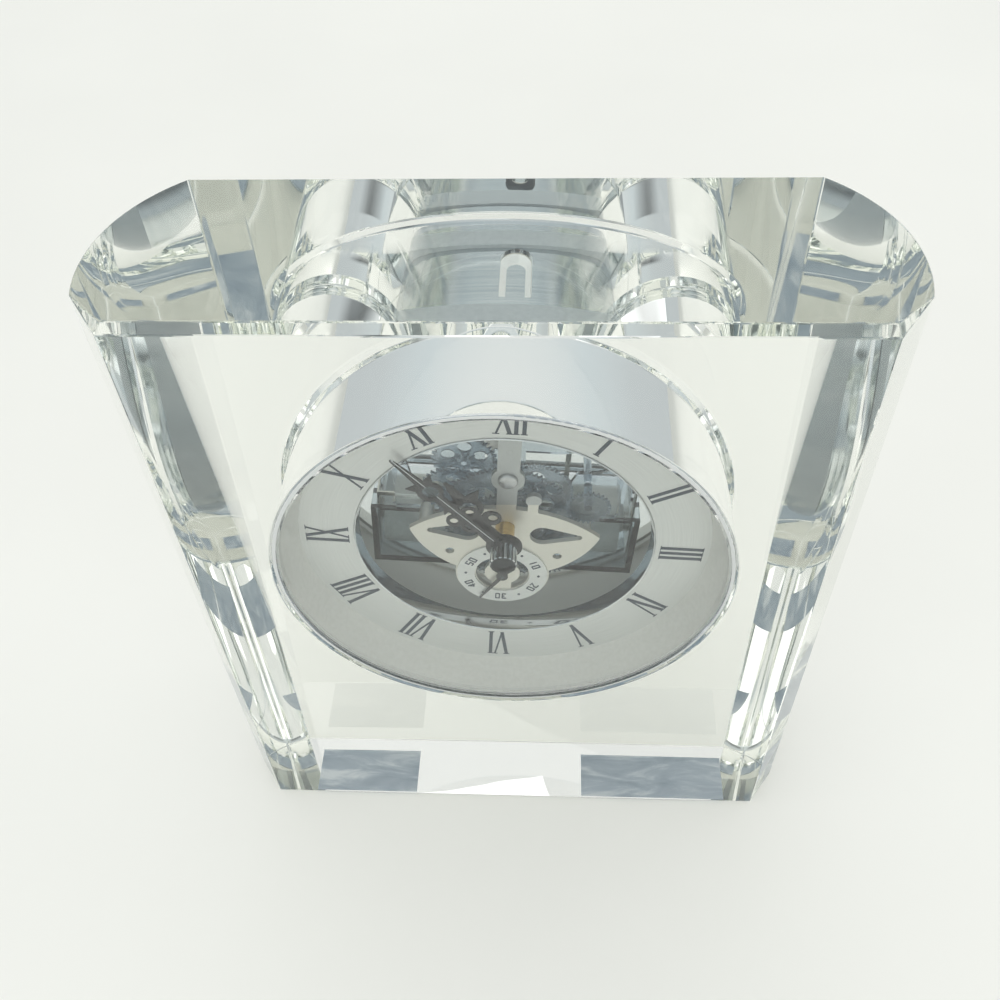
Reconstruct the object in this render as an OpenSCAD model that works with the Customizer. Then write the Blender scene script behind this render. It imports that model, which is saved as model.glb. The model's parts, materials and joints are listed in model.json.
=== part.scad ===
// Crystal desk clock with a skeleton quartz insert.
// Millimetres. +Z is up and the dial faces -Y.
// The origin is the middle of the rectangle that the clock stands on, at table height.
// "Depth" always means the distance behind the front face of the crystal.

/* [Crystal block] */
// overall width of the crystal, measured over the two rounded sides
block_w = 130; // [110:1:160]
// depth of the crystal from its front face to its back face
block_d = 39; // [38.8:0.1:45]
// height of the crystal itself, without the pads under it
block_h = 149; // [130:1:180]
// width of the flat front face
front_w = 116.8; // [104:0.2:126]
// depth at which a side facet meets the rounded side
facet_depth = 7.7; // [4:0.1:11]
// radius of the rounded sides, seen from above
side_r = 30.4; // [26:0.2:34]
// depth of the centre of the rounded sides
side_centre = 15; // [12:0.5:18]
// size of the bevel along the top front edge
top_bevel = 1.5; // [0.8:0.1:3]
// size of the small flats that take the sharpness off the other edges
edge_break = 0.5; // [0.2:0.1:1]
// height of the centre of the dial above the underside of the crystal
dial_height = 89; // [70:0.5:100]

/* [Pads under the block] */
// thickness of the two soft pads
pad_t = 1; // [0.8:0.1:2]
// depth of a pad, front to back
pad_d = 30; // [20:1:34]
// width of the left pad
pad_left_w = 25; // [15:1:40]
// width of the right pad
pad_right_w = 35; // [15:1:40]
// distance of the inner edge of the left pad from the middle
pad_left_x = 24; // [10:1:28]
// distance of the inner edge of the right pad from the middle
pad_right_x = 17; // [10:1:20]

/* [Insert case] */
// distance from the visible edge of the dial out to the wall of the hole through the crystal
case_margin = 3.8; // [3.6:0.1:5]
// gap round the case drum inside the hole, filled by the two grip bands
drum_gap = 0.7; // [0.4:0.1:1]
// wall of the case drum
drum_wall = 1; // [0.8:0.1:1.2]
// depth of the front end of the case drum
drum_front = 5; // [4:0.1:5.5]
// depth of the rear end of the case drum
drum_rear = 35.5; // [35:0.1:36]
// width of one grip band
band_w = 4; // [2:0.5:6]
// how far the whole insert is turned clockwise in its hole, in degrees, as it was left by hand
insert_turn = 3.8; // [-10:0.1:10]
// width of the slot that frees the spring tongue at the top of the case drum
slot_w = 5.4; // [4:0.1:7]
// gap between the bezel and the hole
bezel_gap = 0.3; // [0.2:0.05:0.5]
// thickness of the front lens
lens_t = 2.4; // [2:0.1:2.6]
// depth of the flat front of the lens
lens_depth = 0.35; // [0.3:0.05:0.6]
// width of the metal lip in front of the lens edge
lip_w = 0.3; // [0.2:0.1:0.6]

/* [Dial] */
// depth of the face of the chapter ring
dial_depth = 10; // [9:0.1:10.2]
// thickness of the chapter ring
dial_t = 0.6; // [0.4:0.1:0.6]
// visible outer radius of the chapter ring
dial_r = 39.2; // [36:0.1:45]
// radius of the window in the dial
window_r = 28; // [27:0.1:29.5]
// width of the polished ring round the window
trim_w = 0.7; // [0.5:0.1:1.2]
// height of a numeral, as a share of the width of the chapter ring
numeral_share = 0.79; // [0.5:0.01:0.8]
// gap between the polished ring and the feet of the numerals
numeral_gap = 1; // [0.6:0.1:1.2]
// thickness of the printed numerals
print_t = 0.08; // [0.05:0.01:0.1]
// thick stroke of a numeral
stroke = 0.72; // [0.4:0.02:0.9]

/* [Hands] */
// length of the minute hand from its centre to its tip
minute_len = 31; // [24:0.5:34]
// length of the hour hand from its centre to its tip
hour_len = 20.5; // [16:0.5:24]
// length of the small seconds hand
second_len = 8.6; // [6:0.1:9]
// thickness of the hands
hand_t = 0.3; // [0.2:0.05:0.3]
// minutes past the hour that the hands show at rest
show_minutes = 53; // [0:1:59]
// hour that the hands show at rest
show_hours = 10; // [0:1:11]
// seconds that the small hand shows at rest
show_seconds = 35; // [0:1:59]
// length of the knurled nut that holds the hands
nut_len = 4; // [3:0.1:4.6]
// radius of the knurled nut
nut_r = 2.6; // [2:0.1:2.6]

/* [Movement] */
// depth of the front plate
plate_depth = 14; // [14:0.1:14]
// thickness of the front plate
plate_t = 1; // [0.8:0.1:1]
// distance of the seconds axis below the centre
seconds_drop = 14.4; // [13:0.1:15]
// outer radius of the seconds scale
scale_r = 9.2; // [8:0.1:9.4]
// depth of the rear plate
rear_plate_depth = 22.3; // [22.3:0.1:22.4]
// thickness of the rear plate
rear_plate_t = 0.9; // [0.7:0.1:0.9]
// thickness of a gear wheel
wheel_t = 0.6; // [0.5:0.05:0.6]
// distance from one layer of gear wheels to the next
layer_step = 1; // [1:0.05:1]
// radial gap between an arbor and the hole it turns in
run_gap = 0.05; // [0.03:0.01:0.08]
// radius of the thin arbors and posts
arbor_r = 0.55; // [0.4:0.05:0.6]

/* [Battery] */
// diameter of the battery, size AA
battery_dia = 14.2; // [13.5:0.1:14.3]
// length of the battery over its button
battery_len = 50; // [49.2:0.1:50.5]
// wall of the battery tray
tray_wall = 1.2; // [1:0.1:1.5]

/* [Hidden] */
$fn = 96;
front_y = -block_d / 2;
axis_z = pad_t + dial_height;
top_z = pad_t + block_h;
bore_r = dial_r + case_margin;
side_x = block_w / 2 - side_r;
facet_x = side_x + sqrt(side_r * side_r - pow(side_centre - facet_depth, 2));
front_x = front_w / 2;
drum_r = bore_r - drum_gap;
drum_in_r = drum_r - drum_wall;
bezel_r = bore_r - bezel_gap;
bezel_front = 0.15;
seat_gap = 0.1;
lens_r = bezel_r - 0.5;
lens_bevel = 0.8;
lens_back = lens_depth + lens_t;
lip_in_r = lens_r - lip_w;
lip_t = 0.6;
bezel_round = 0.35;
liner_r = drum_in_r - seat_gap;
flare_in_r = lens_r - 0.7;
flare_t = 2;
trim_out_r = window_r + trim_w;
dial_back = dial_depth + dial_t;
numeral_h = numeral_share * (dial_r - trim_out_r);
numeral_r = trim_out_r + numeral_gap;
mount_in_r = window_r + 1.2;
mount_screw_r = mount_in_r + 1.5;

// minute and hour angles at rest, clockwise from twelve
minute_turn = show_minutes * 6;
hour_turn = show_hours * 30 + show_minutes / 2;
second_turn = show_seconds * 6;

// gear teeth: module is the pitch diameter divided by the number of teeth
going_m = 0.32;
motion_m = 0.32;
motor_m = 0.4;
sec_pinion_n = 8;
third_n = 48;
third_pinion_n = 8;
centre_n = 80;
cannon_n = 15;
minute_n = 45;
minute_pinion_n = 12;
hour_n = 48;
setting_n = 26;
sec_wheel_n = 40;
idler_n = 26;
inter_pinion_n = 10;
inter_n = 30;
drive_pinion_n = 10;
drive_n = 30;
rotor_n = 12;

// distances between axes
sec_third = (sec_pinion_n + third_n) * going_m / 2;
third_centre = (third_pinion_n + centre_n) * going_m / 2;
centre_minute = (cannon_n + minute_n) * motion_m / 2;
minute_setting = (minute_n + setting_n) * motion_m / 2;
sec_idler = (sec_wheel_n + idler_n) * motor_m / 2;
idler_inter = (idler_n + inter_pinion_n) * motor_m / 2;
inter_drive = (inter_n + drive_pinion_n) * motor_m / 2;
drive_rotor = (drive_n + rotor_n) * motor_m / 2;

// places of the axes relative to the centre of the dial, and directions between them
centre_p = [0, 0];
seconds_p = [0, -seconds_drop];
third_z = (pow(sec_third, 2) - pow(third_centre, 2) - pow(seconds_drop, 2)) / (2 * seconds_drop);
third_p = [sqrt(pow(third_centre, 2) - pow(third_z, 2)), third_z];
minute_dir = 58;
minute_p = polar(centre_p, centre_minute, minute_dir);
setting_dir = -20;
setting_p = polar(minute_p, minute_setting, setting_dir);
idler_dir = 122;
idler_p = polar(seconds_p, sec_idler, idler_dir);
inter_dir = 120;
inter_p = polar(idler_p, idler_inter, inter_dir);
drive_dir = 75;
drive_p = polar(inter_p, inter_drive, drive_dir);
rotor_dir = 40;
rotor_p = polar(drive_p, drive_rotor, rotor_dir);
third_dir = bearing(seconds_p, third_p);
centre_dir = bearing(third_p, centre_p);

// angle of one tooth of each gear, so that the teeth are in mesh at rest
sec_pinion_a = 0;
third_a = meshed(sec_pinion_a, third_dir, sec_pinion_n, third_n);
third_pinion_a = 0;
centre_a = meshed(third_pinion_a, centre_dir, third_pinion_n, centre_n);
cannon_a = 0;
minute_a = meshed(cannon_a, minute_dir, cannon_n, minute_n);
setting_a = meshed(minute_a, setting_dir, minute_n, setting_n);
minute_pinion_a = 0;
hour_a = meshed(minute_pinion_a, minute_dir + 180, minute_pinion_n, hour_n);
sec_wheel_a = 0;
idler_a = meshed(sec_wheel_a, idler_dir, sec_wheel_n, idler_n);
inter_pinion_a = meshed(idler_a, inter_dir, idler_n, inter_pinion_n);
inter_a = 0;
drive_pinion_a = meshed(inter_a, drive_dir, inter_n, drive_pinion_n);
drive_a = 0;
rotor_a = meshed(drive_a, rotor_dir, drive_n, rotor_n);

// depths of the gear layers, front to rear
layer1 = plate_depth + plate_t + 0.3;
layer2 = layer1 + layer_step;
layer3 = layer2 + layer_step;
layer4 = layer3 + layer_step;
layer5 = layer4 + layer_step;
layer6 = layer5 + layer_step;
layer7 = layer6 + layer_step;
rear_face = rear_plate_depth + rear_plate_t;

// hands and their tubes
minute_depth = 8.5;
nut_front = minute_depth - nut_len;
hour_depth = minute_depth + hand_t + 0.5;
thread_r = 1.2;
pipe_r = 1.9;
setting_r = 0.8;
scale_t = 0.4;
second_depth = plate_depth - scale_t - print_t - 0.3 - hand_t;

// battery tray, behind the rear plate
tray_in_h = battery_dia + 0.5;
tray_in_w = battery_len + 2.4;
tray_z = -seconds_drop;
tray_rear = 37.7;
battery_depth = rear_face + battery_dia / 2 + 0.1;
hatch_t = 0.8;
hatch_pull = 12;

// rear cover
cover_t = 1.4;
cover_depth = drum_rear - cover_t;
shoulder_w = 0.8;
shoulder_t = 1;
rear_ring_end = 38.4;
rear_ring_in_r = drum_in_r - 1;

// motor
magnet_r = 2.6;
magnet_t = 2.4;
magnet_depth = rear_face + 0.6;
stator_depth = rear_face + 1.2;
stator_t = 0.9;
stator_gap = 0.4;
coil_rise = 10;
coil_r = 3;
coil_len = 13;
coil_core = 1.5;
leg_x = 10;
board_depth = rear_face + 1.2;
board_t = 0.8;

bar_w = 4.2;
bar_top = mount_screw_r + 1.3;
head_w = 12;
mount_screw_x = 4;
pillar_r = 1.4;
screw_r = 0.6;
screw_head_r = 1.1;

function polar(p, d, a) = [p[0] + d * cos(a), p[1] + d * sin(a)];
function bearing(p, q) = atan2(q[1] - p[1], q[0] - p[0]);
// tooth angle of the second gear, from the tooth angle a of the first and the direction dir to it
function meshed(a, dir, n1, n2) = dir + 180 - (a - dir) * n1 / n2 + 180 / n2;

// turns a piece of the insert about the dial's axis, by the turn of the whole insert
module turned() {
    translate([0, 0, axis_z])
        rotate([0, insert_turn, 0])
        translate([0, 0, -axis_z])
        children();
}

// puts a flat drawing (x to the right, y up, thickness to the rear) at a depth on the dial's axis
module at(depth, p = [0, 0]) {
    turned()
        translate([p[0], front_y + depth, axis_z + p[1]])
        rotate([90, 0, 0])
        mirror([0, 0, 1])
        children();
}

module disc(r, t) {
    cylinder(r = r, h = t);
}

module ring(r_out, r_in, t) {
    difference() {
        cylinder(r = r_out, h = t);
        translate([0, 0, -1])
            cylinder(r = r_in, h = t + 2);
    }
}

// outline of a gear: n teeth of module m, the first one at angle a
module gear_shape(n, m, a) {
    root_r = m * (n / 2 - 1.3);
    tip_r = m * (n / 2 + 0.8);
    pitch = 360 / n;
    polygon([for (i = [0 : n - 1], k = [[-0.27, 0], [-0.09, 1], [0.09, 1], [0.27, 0]])
        let (b = a + (i + k[0]) * pitch, r = k[1] == 1 ? tip_r : root_r)
        [r * cos(b), r * sin(b)]]);
}

// a gear wheel with round lightening holes and a bore
module wheel(n, m, a, hole_r, holes = 5) {
    rim_r = m * (n / 2 - 1.3);
    mid_r = (rim_r + hole_r) / 2 + 0.2;
    window = min((rim_r - hole_r) / 2 - 0.85, mid_r * sin(180 / max(holes, 1)) - 0.5);
    linear_extrude(wheel_t)
        difference() {
            gear_shape(n, m, a);
            circle(hole_r);
            if (holes > 0)
                for (i = [0 : holes - 1])
                    rotate(i * 360 / holes + 18)
                        translate([mid_r, 0])
                        circle(window);
        }
}

// a small gear without lightening holes, t thick
module pinion(n, m, a, hole_r, t) {
    linear_extrude(t)
        difference() {
            gear_shape(n, m, a);
            if (hole_r > 0)
                circle(hole_r);
        }
}

// a straight stroke from p to q with width w
module bar(p, q, w) {
    translate(p)
        rotate(bearing(p, q))
        translate([0, -w / 2])
        square([norm([q[0] - p[0], q[1] - p[1]]), w]);
}

// crystal

// the outline of the crystal seen from above, its front edge on y = 0; it runs past the front and
// the back, which the side profile cuts flat
module block_outline() {
    over = 5;
    lean = (facet_x - front_x) / facet_depth;
    intersection() {
        union() {
            translate([-side_x, -over])
                square([2 * side_x, block_d + 2 * over]);
            for (s = [-1, 1])
                translate([s * side_x, side_centre])
                circle(side_r);
        }
        polygon([[-front_x + over * lean, -over], [front_x - over * lean, -over],
            [front_x + block_d * lean, block_d], [front_x + block_d * lean, block_d + over],
            [-front_x - block_d * lean, block_d + over], [-front_x - block_d * lean, block_d]]);
    }
}

// the crystal seen from its right side: y across and z up, with the bevels along its long edges
module block_profile() {
    polygon([[front_y + edge_break, pad_t], [-front_y - edge_break, pad_t],
        [-front_y, pad_t + edge_break], [-front_y, top_z - edge_break],
        [-front_y - edge_break, top_z], [front_y + top_bevel, top_z],
        [front_y, top_z - top_bevel], [front_y, pad_t + edge_break]]);
}

// cuts the bevel over one side facet: it runs out to nothing just before the facet ends
module facet_bevel() {
    run = 0.96;
    far = [front_x + run * (facet_x - front_x), run * facet_depth, 0];
    low = [front_x, 0, -1.1 * top_bevel];
    inner = [front_x - top_bevel / 2, top_bevel, 0];
    n = cross(inner - far, low - far);
    tilt = acos(n[2] / norm(n));
    turn = atan2(n[1], n[0]);
    cut = 40;
    translate(far)
        rotate([0, tilt, turn])
        translate([-cut / 2, -cut / 2, 0])
        cube(cut);
}

module crystal_block() {
    color([0.9, 0.95, 0.93, 0.35])
    difference() {
        intersection() {
            translate([0, front_y, -1])
                linear_extrude(top_z + 5)
                block_outline();
            rotate([90, 0, 90])
                linear_extrude(2 * block_w, center = true)
                block_profile();
        }
        // hole for the insert, with its two ends eased
        translate([0, front_y - 1, axis_z])
            rotate([-90, 0, 0])
            cylinder(r = bore_r, h = block_d + 2);
        for (s = [0, 1])
            translate([0, s == 0 ? front_y : -front_y, axis_z])
                rotate([s == 0 ? -90 : 90, 0, 0])
                cylinder(r1 = bore_r + edge_break, r2 = bore_r, h = edge_break);
        for (s = [0, 1])
            mirror([s, 0, 0])
                translate([0, front_y, top_z])
                facet_bevel();
    }
}

module foot_pads() {
    color([0.55, 0.6, 0.65])
    for (q = [[-pad_left_x - pad_left_w, pad_left_w], [pad_right_x, pad_right_w]])
        translate([q[0], front_y + 1, 0])
            cube([q[1], pad_d, pad_t]);
}

// insert case

// the slot seen from above, x across and y along the depth, with the spring tongue left standing in it
slot_front = 18.5;
slot_rear = 31;
tongue_w = 3.2;
tongue_len = 8.2;
module slot_shape() {
    difference() {
        union() {
            translate([-slot_w / 2, slot_front])
                square([slot_w, slot_rear - slot_front - slot_w / 2]);
            translate([0, slot_rear - slot_w / 2])
                circle(slot_w / 2);
        }
        translate([-tongue_w / 2, slot_front - 1])
            square([tongue_w, tongue_len + 1 - tongue_w / 2]);
        translate([0, slot_front + tongue_len - tongue_w / 2])
            circle(tongue_w / 2);
    }
}

module case_drum() {
    color([0.82, 0.84, 0.85]) {
        difference() {
            at(drum_front)
                ring(drum_r, drum_in_r, drum_rear - drum_front);
            turned()
                translate([0, front_y, axis_z + drum_in_r - 1])
                linear_extrude(drum_wall + 2)
                slot_shape();
        }
        at(cover_depth - shoulder_t)
            ring(drum_in_r + 0.2, drum_in_r - shoulder_w, shoulder_t);
    }
}

module front_bezel() {
    color([0.86, 0.87, 0.88])
    at(bezel_front)
        rotate_extrude()
        difference() {
            union() {
                translate([lip_in_r, 0])
                    square([bezel_r - bezel_round - lip_in_r, drum_front - bezel_front]);
                translate([lip_in_r, bezel_round])
                    square([bezel_r - lip_in_r, drum_front - bezel_front - bezel_round]);
                translate([bezel_r - bezel_round, bezel_round])
                    circle(bezel_round);
            }
            translate([lip_in_r - 1, lip_t])
                square([lens_r + seat_gap - lip_in_r + 1, drum_front]);
        }
}

module front_lens() {
    color([0.9, 0.95, 1, 0.3])
    at(lens_depth)
        rotate_extrude()
        polygon([[0, 0], [lens_r - lens_bevel, 0], [lens_r, lens_bevel], [lens_r, lens_t], [0, lens_t]]);
}

module grip_bands() {
    color([0.62, 0.65, 0.66])
    for (d = [drum_front + 7, drum_rear - 0.3 - band_w])
        at(d)
            ring(bore_r - 0.02, drum_r + 0.02, band_w);
}

module dial_liner() {
    color([0.93, 0.93, 0.91])
    at(lens_back + 0.05)
        rotate_extrude()
        polygon([[flare_in_r, 0], [lens_r, 0], [lens_r, flare_t], [liner_r, flare_t],
            [liner_r, dial_depth - lens_back - 0.05], [dial_r, dial_depth - lens_back - 0.05]]);
}

module chapter_ring() {
    color([0.74, 0.74, 0.72])
    at(dial_depth)
        ring(liner_r, trim_out_r + 0.05, dial_t);
}

// a thin polished edge in front of the dial, a cone behind it, and a flange that holds the dial
module trim_ring() {
    color([0.85, 0.86, 0.86])
    at(dial_depth - 0.3)
        rotate_extrude()
        polygon([[window_r + 0.5, 0], [trim_out_r - 0.1, 0], [trim_out_r, 0.1],
            [trim_out_r, dial_t + 0.32], [trim_out_r + 2.4, dial_t + 0.32], [trim_out_r + 2.4, dial_t + 0.9],
            [trim_out_r + 0.1, dial_t + 0.9], [window_r + 0.5, 2.9], [window_r, 2.9],
            [window_r + 0.4, 0.1]]);
}

// smoked ring behind the dial; it passes outside the flange of the trim ring and closes in behind it
module mounting_ring() {
    ring_t = plate_depth - dial_back - 0.02;
    color([0.35, 0.42, 0.48, 0.7])
    at(dial_back + 0.02)
        difference() {
            rotate_extrude()
                polygon([[trim_out_r + 2.6, 0], [liner_r, 0], [liner_r, ring_t], [mount_in_r, ring_t],
                    [mount_in_r, 0.7], [trim_out_r + 2.6, 0.7]]);
            for (s = [-1, 1])
                translate([s * mount_screw_x, mount_screw_r, plate_depth - dial_back - 2])
                    cylinder(r = screw_r, h = 3);
        }
}

// numerals, each drawn upright with its foot on y = 0

module serif(x, y, w) {
    translate([x - w / 2, y == 0 ? 0 : y - 0.16])
        square([w, 0.16]);
}

module letter_i(x) {
    translate([x - stroke / 2, 0])
        square([stroke, numeral_h]);
    serif(x, 0, stroke + 0.5);
    serif(x, numeral_h, stroke + 0.5);
}

module letter_v(x) {
    w = 1.25;
    bar([x - w, numeral_h - 0.1], [x, 0.1], stroke);
    bar([x + w, numeral_h - 0.1], [x, 0.1], stroke / 2);
    serif(x - w, numeral_h, stroke + 0.6);
    serif(x + w, numeral_h, stroke + 0.4);
}

module letter_x(x) {
    w = 1.2;
    bar([x - w, numeral_h - 0.1], [x + w, 0.1], stroke);
    bar([x + w, numeral_h - 0.1], [x - w, 0.1], stroke / 2);
    for (s = [-1, 1]) {
        serif(x + s * w, numeral_h, stroke + 0.5);
        serif(x + s * w, 0, stroke + 0.5);
    }
}

roman = ["I", "II", "III", "IV", "V", "VI", "VII", "VIII", "IX", "X", "XI", "XII"];
step_i = 1.4;
step_wide = 3.1;
function letter_w(c) = c == "I" ? step_i : step_wide;
function word_w(s, i = 0) = i >= len(s) ? 0 : letter_w(s[i]) + word_w(s, i + 1);
function start_x(s, i) = i == 0 ? 0 : letter_w(s[i - 1]) + start_x(s, i - 1);

module numerals() {
    color([0.3, 0.34, 0.4])
    for (h = [1 : 12])
        at(dial_depth - print_t)
            rotate(-30 * h)
            translate([0, numeral_r])
            linear_extrude(print_t)
            for (i = [0 : len(roman[h - 1]) - 1])
                let (s = roman[h - 1], x = start_x(s, i) + letter_w(s[i]) / 2 - word_w(s) / 2) {
                    if (s[i] == "I")
                        letter_i(x);
                    if (s[i] == "V")
                        letter_v(x);
                    if (s[i] == "X")
                        letter_x(x);
                }
}

// movement, fixed pieces

// the lens-shaped outline of the front plate: two arcs that meet in points left and right
leaf_half_w = 18.6;
leaf_up = 7.2;
leaf_down = 13.5;
leaf_z = -1.7;
function arc_r(half, rise) = (half * half + rise * rise) / (2 * rise);
module leaf_shape() {
    up_r = arc_r(leaf_half_w, leaf_up);
    down_r = arc_r(leaf_half_w, leaf_down);
    translate([0, leaf_z])
        union() {
            intersection() {
                translate([0, leaf_up - up_r])
                    circle(up_r);
                translate([-leaf_half_w, 0])
                    square([2 * leaf_half_w, leaf_up]);
            }
            intersection() {
                translate([0, down_r - leaf_down])
                    circle(down_r);
                translate([-leaf_half_w, -leaf_down])
                    square([2 * leaf_half_w, leaf_down]);
            }
        }
}

// teardrop slot, round end at the inner side, pointed outwards
module teardrop(x, z, s) {
    translate([x, z])
        union() {
            circle(2.5);
            polygon([[s * 0.5, 2.45], [s * 7, 0.7], [s * 7, -0.7], [s * 0.5, -2.45]]);
            translate([s * 7, 0])
                circle(0.72);
        }
}

neck_w = 3.8;
head_z = 13.6;
head_r = 3.1;
peep_x = 10.7;
pillar_places = [[-15.8, -4.6], [15.8, -4.6], [0, 21]];

module front_plate_shape() {
    difference() {
        union() {
            leaf_shape();
            translate(seconds_p)
                circle(scale_r + 0.3);
            // bar from the top of the case, its round head and its neck
            translate([-bar_w / 2, head_z])
                square([bar_w, bar_top - head_z]);
            translate([0, head_z])
                circle(head_r);
            translate([-neck_w / 2, 0])
                square([neck_w, head_z]);
            // cross bar at its top, screwed to the mounting ring
            translate([-head_w / 2, mount_screw_r - 1.3])
                square([head_w, bar_top - mount_screw_r + 1.3]);
            // small lug that carries the post of the minute wheel
            bar([minute_p[0], minute_p[1] - 4], minute_p, 2);
            translate(minute_p)
                circle(1.5);
        }
        circle(pipe_r + run_gap);
        for (s = [-1, 1]) {
            teardrop(s * 7.4, leaf_z - 0.2, s);
            translate([s * peep_x, -8])
                circle(0.9);
            translate([s * mount_screw_x, mount_screw_r])
                circle(screw_r);
        }
        // openings left and right of the small seconds arbor
        translate(seconds_p)
            difference() {
                circle(5.4);
                circle(3.6);
                square([4, 12], center = true);
            }
        translate(seconds_p)
            circle(arbor_r + run_gap);
        for (q = pillar_places)
            translate(q)
                circle(screw_r);
        translate([0, head_z])
            circle(screw_r);
    }
}

module front_plate() {
    color([0.8, 0.79, 0.74]) {
        at(plate_depth)
            linear_extrude(plate_t)
            front_plate_shape();
        // posts that the minute wheel and the third wheel turn on
        at(plate_depth + plate_t - 0.3, minute_p)
            disc(arbor_r, layer3 - plate_depth - plate_t);
        at(plate_depth + plate_t - 0.3, third_p)
            disc(arbor_r, layer4 + wheel_t - plate_depth - plate_t + 0.35);
    }
}

module mounting_screws() {
    color([0.8, 0.8, 0.8])
    for (s = [-1, 1]) {
        at(plate_depth + plate_t, [s * mount_screw_x, mount_screw_r])
            disc(screw_head_r, 0.6);
        at(plate_depth - 1.6, [s * mount_screw_x, mount_screw_r])
            disc(screw_r - 0.02, plate_t + 1.7);
    }
}

module bridge_screw() {
    color([0.75, 0.75, 0.73]) {
        at(plate_depth - 0.7, [0, head_z])
            difference() {
                disc(1.9, 0.7);
                translate([-3, -0.3, -0.1])
                    cube([6, 0.6, 0.4]);
            }
        at(plate_depth - 0.1, [0, head_z])
            disc(screw_r - 0.02, plate_t + 0.1);
    }
}

module seconds_scale() {
    color([0.78, 0.78, 0.76])
    at(plate_depth - scale_t, seconds_p)
        ring(scale_r, 5.6, scale_t);
}

// strokes of the digits 0 to 6 on a grid one unit wide and two high
digit_lines = [
    [[0, 0], [1, 0], [1, 2], [0, 2], [0, 0]],
    [[0.5, 0], [0.5, 2]],
    [[1, 0], [0, 0], [1, 1.3], [1, 2], [0, 2]],
    [[0, 0], [1, 0], [1, 2], [0, 2]],
    [[0.8, 0], [0.8, 2], [0, 0.6], [1, 0.6]],
    [[0, 0], [1, 0], [1, 1], [0, 1], [0, 2], [1, 2]],
    [[1, 2], [0, 2], [0, 0], [1, 0], [1, 1], [0, 1]]];
digit_unit = 0.75;
digit_w = 0.24;

module digit(k, x) {
    for (i = [0 : len(digit_lines[k]) - 2])
        let (p = digit_lines[k][i] * digit_unit, q = digit_lines[k][i + 1] * digit_unit) {
            translate([x, 0])
                bar(p, q, digit_w);
            translate([x + q[0], q[1]])
                circle(digit_w / 2);
        }
    // cross stroke of the three
    if (k == 3)
        translate([x, 0])
            bar([0.3, digit_unit], [digit_unit, digit_unit], digit_w);
}

module seconds_figures() {
    color([0.3, 0.32, 0.35])
    at(plate_depth - scale_t - print_t, seconds_p)
        linear_extrude(print_t)
        for (k = [1 : 12])
            rotate(-30 * k)
                if (k % 2 == 0)
                    translate([0, 6.6]) {
                        digit(k / 2, -1.05);
                        digit(0, 0.3);
                    }
                else
                    translate([0, 7.4])
                        circle(0.28);
}

// each pillar has a pin that is riveted flush into the front plate
module pillars() {
    color([0.75, 0.74, 0.7])
    for (q = pillar_places)
        at(plate_depth, q)
            difference() {
                union() {
                    disc(screw_r - 0.02, plate_t + 1);
                    translate([0, 0, plate_t])
                        disc(pillar_r, rear_plate_depth - plate_depth - plate_t);
                }
                translate([0, 0, rear_plate_depth - plate_depth - 1.5])
                    cylinder(r = screw_r, h = 1.6);
            }
}

module pillar_screws() {
    color([0.8, 0.8, 0.8])
    for (q = pillar_places) {
        at(rear_face, q)
            disc(screw_head_r, 0.5);
        at(rear_plate_depth - 1.1, q)
            disc(screw_r - 0.02, rear_plate_t + 1.2);
    }
}

// smoked plate at the rear of the gears: a wide lower part that closes the battery tray
// and two rounded lobes above it
lobe_p = [17, 12];
lobe_r = 6;
module rear_plate_shape() {
    half_w = tray_in_w / 2 + tray_wall;
    low = tray_z - tray_in_h / 2 - tray_wall;
    difference() {
        union() {
            translate([-half_w, low])
                square([2 * half_w, tray_in_h + 2 * tray_wall]);
            for (s = [0, 1])
                mirror([s, 0]) {
                    polygon([[0, 2], [4, -7], [22, -7], [lobe_p[0] + lobe_r, lobe_p[1]],
                        [lobe_p[0] + 2, lobe_p[1] + 5.6], [0, 15]]);
                    translate(lobe_p)
                        circle(lobe_r);
                }
            translate([-12, 2])
                square([24, 21]);
        }
        circle(arbor_r + run_gap);
        translate(seconds_p)
            circle(arbor_r + run_gap);
        translate(setting_p)
            circle(setting_r + run_gap);
        translate(rotor_p)
            circle(arbor_r + run_gap);
        for (q = pillar_places)
            translate(q)
                circle(screw_r);
        // openings that leave the lobes as frames
        polygon([[-13.6, 8], [-13.4, -1.5], [-17.6, -1.5], [-19.8, 8], [-20.6, 12.4], [-17.6, 15.4], [-12, 16.2]]);
        polygon([[3.2, 4], [12.4, 4.6], [13.6, 7.4], [17.2, 7.6], [20.2, 9], [20.4, 12.6], [15, 13.6],
            [10, 12.6], [3.2, 12.6]]);
        polygon([[-4.6, 4], [-3.2, 4], [-3.2, 12.4], [-4.6, 11.4]]);
    }
}

module post(p, front, r) {
    at(front, p)
        disc(r, rear_plate_depth + 0.3 - front);
}

module rear_plate() {
    color([0.35, 0.42, 0.48, 0.7]) {
        at(rear_plate_depth)
            linear_extrude(rear_plate_t)
            rear_plate_shape();
        post(idler_p, layer5, arbor_r);
        post(inter_p, layer5, arbor_r);
        post(drive_p, layer6, arbor_r);
        // short posts behind the plate for the motor and the board
        for (s = [-1, 1])
            at(rear_face - 0.3, [rotor_p[0] + s * 7, rotor_p[1]])
                difference() {
                    disc(1.3, stator_depth - rear_face + 0.3);
                    translate([0, 0, 0.5])
                        cylinder(r = screw_r, h = 3);
                }
        at(rear_face - 0.3, [lobe_p[0], lobe_p[1] + 4.4])
            disc(1.3, board_depth - rear_face + 0.3);
    }
}

module hour_pipe() {
    color([0.78, 0.62, 0.32])
    at(hour_depth)
        ring(pipe_r, thread_r + run_gap, layer1 + wheel_t - hour_depth);
}

module cannon_pinion() {
    color([0.78, 0.62, 0.32])
    at(layer2)
        pinion(cannon_n, motion_m, cannon_a, thread_r, wheel_t);
}

// wheels and hands; every one is placed in mesh with its neighbours

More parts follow.
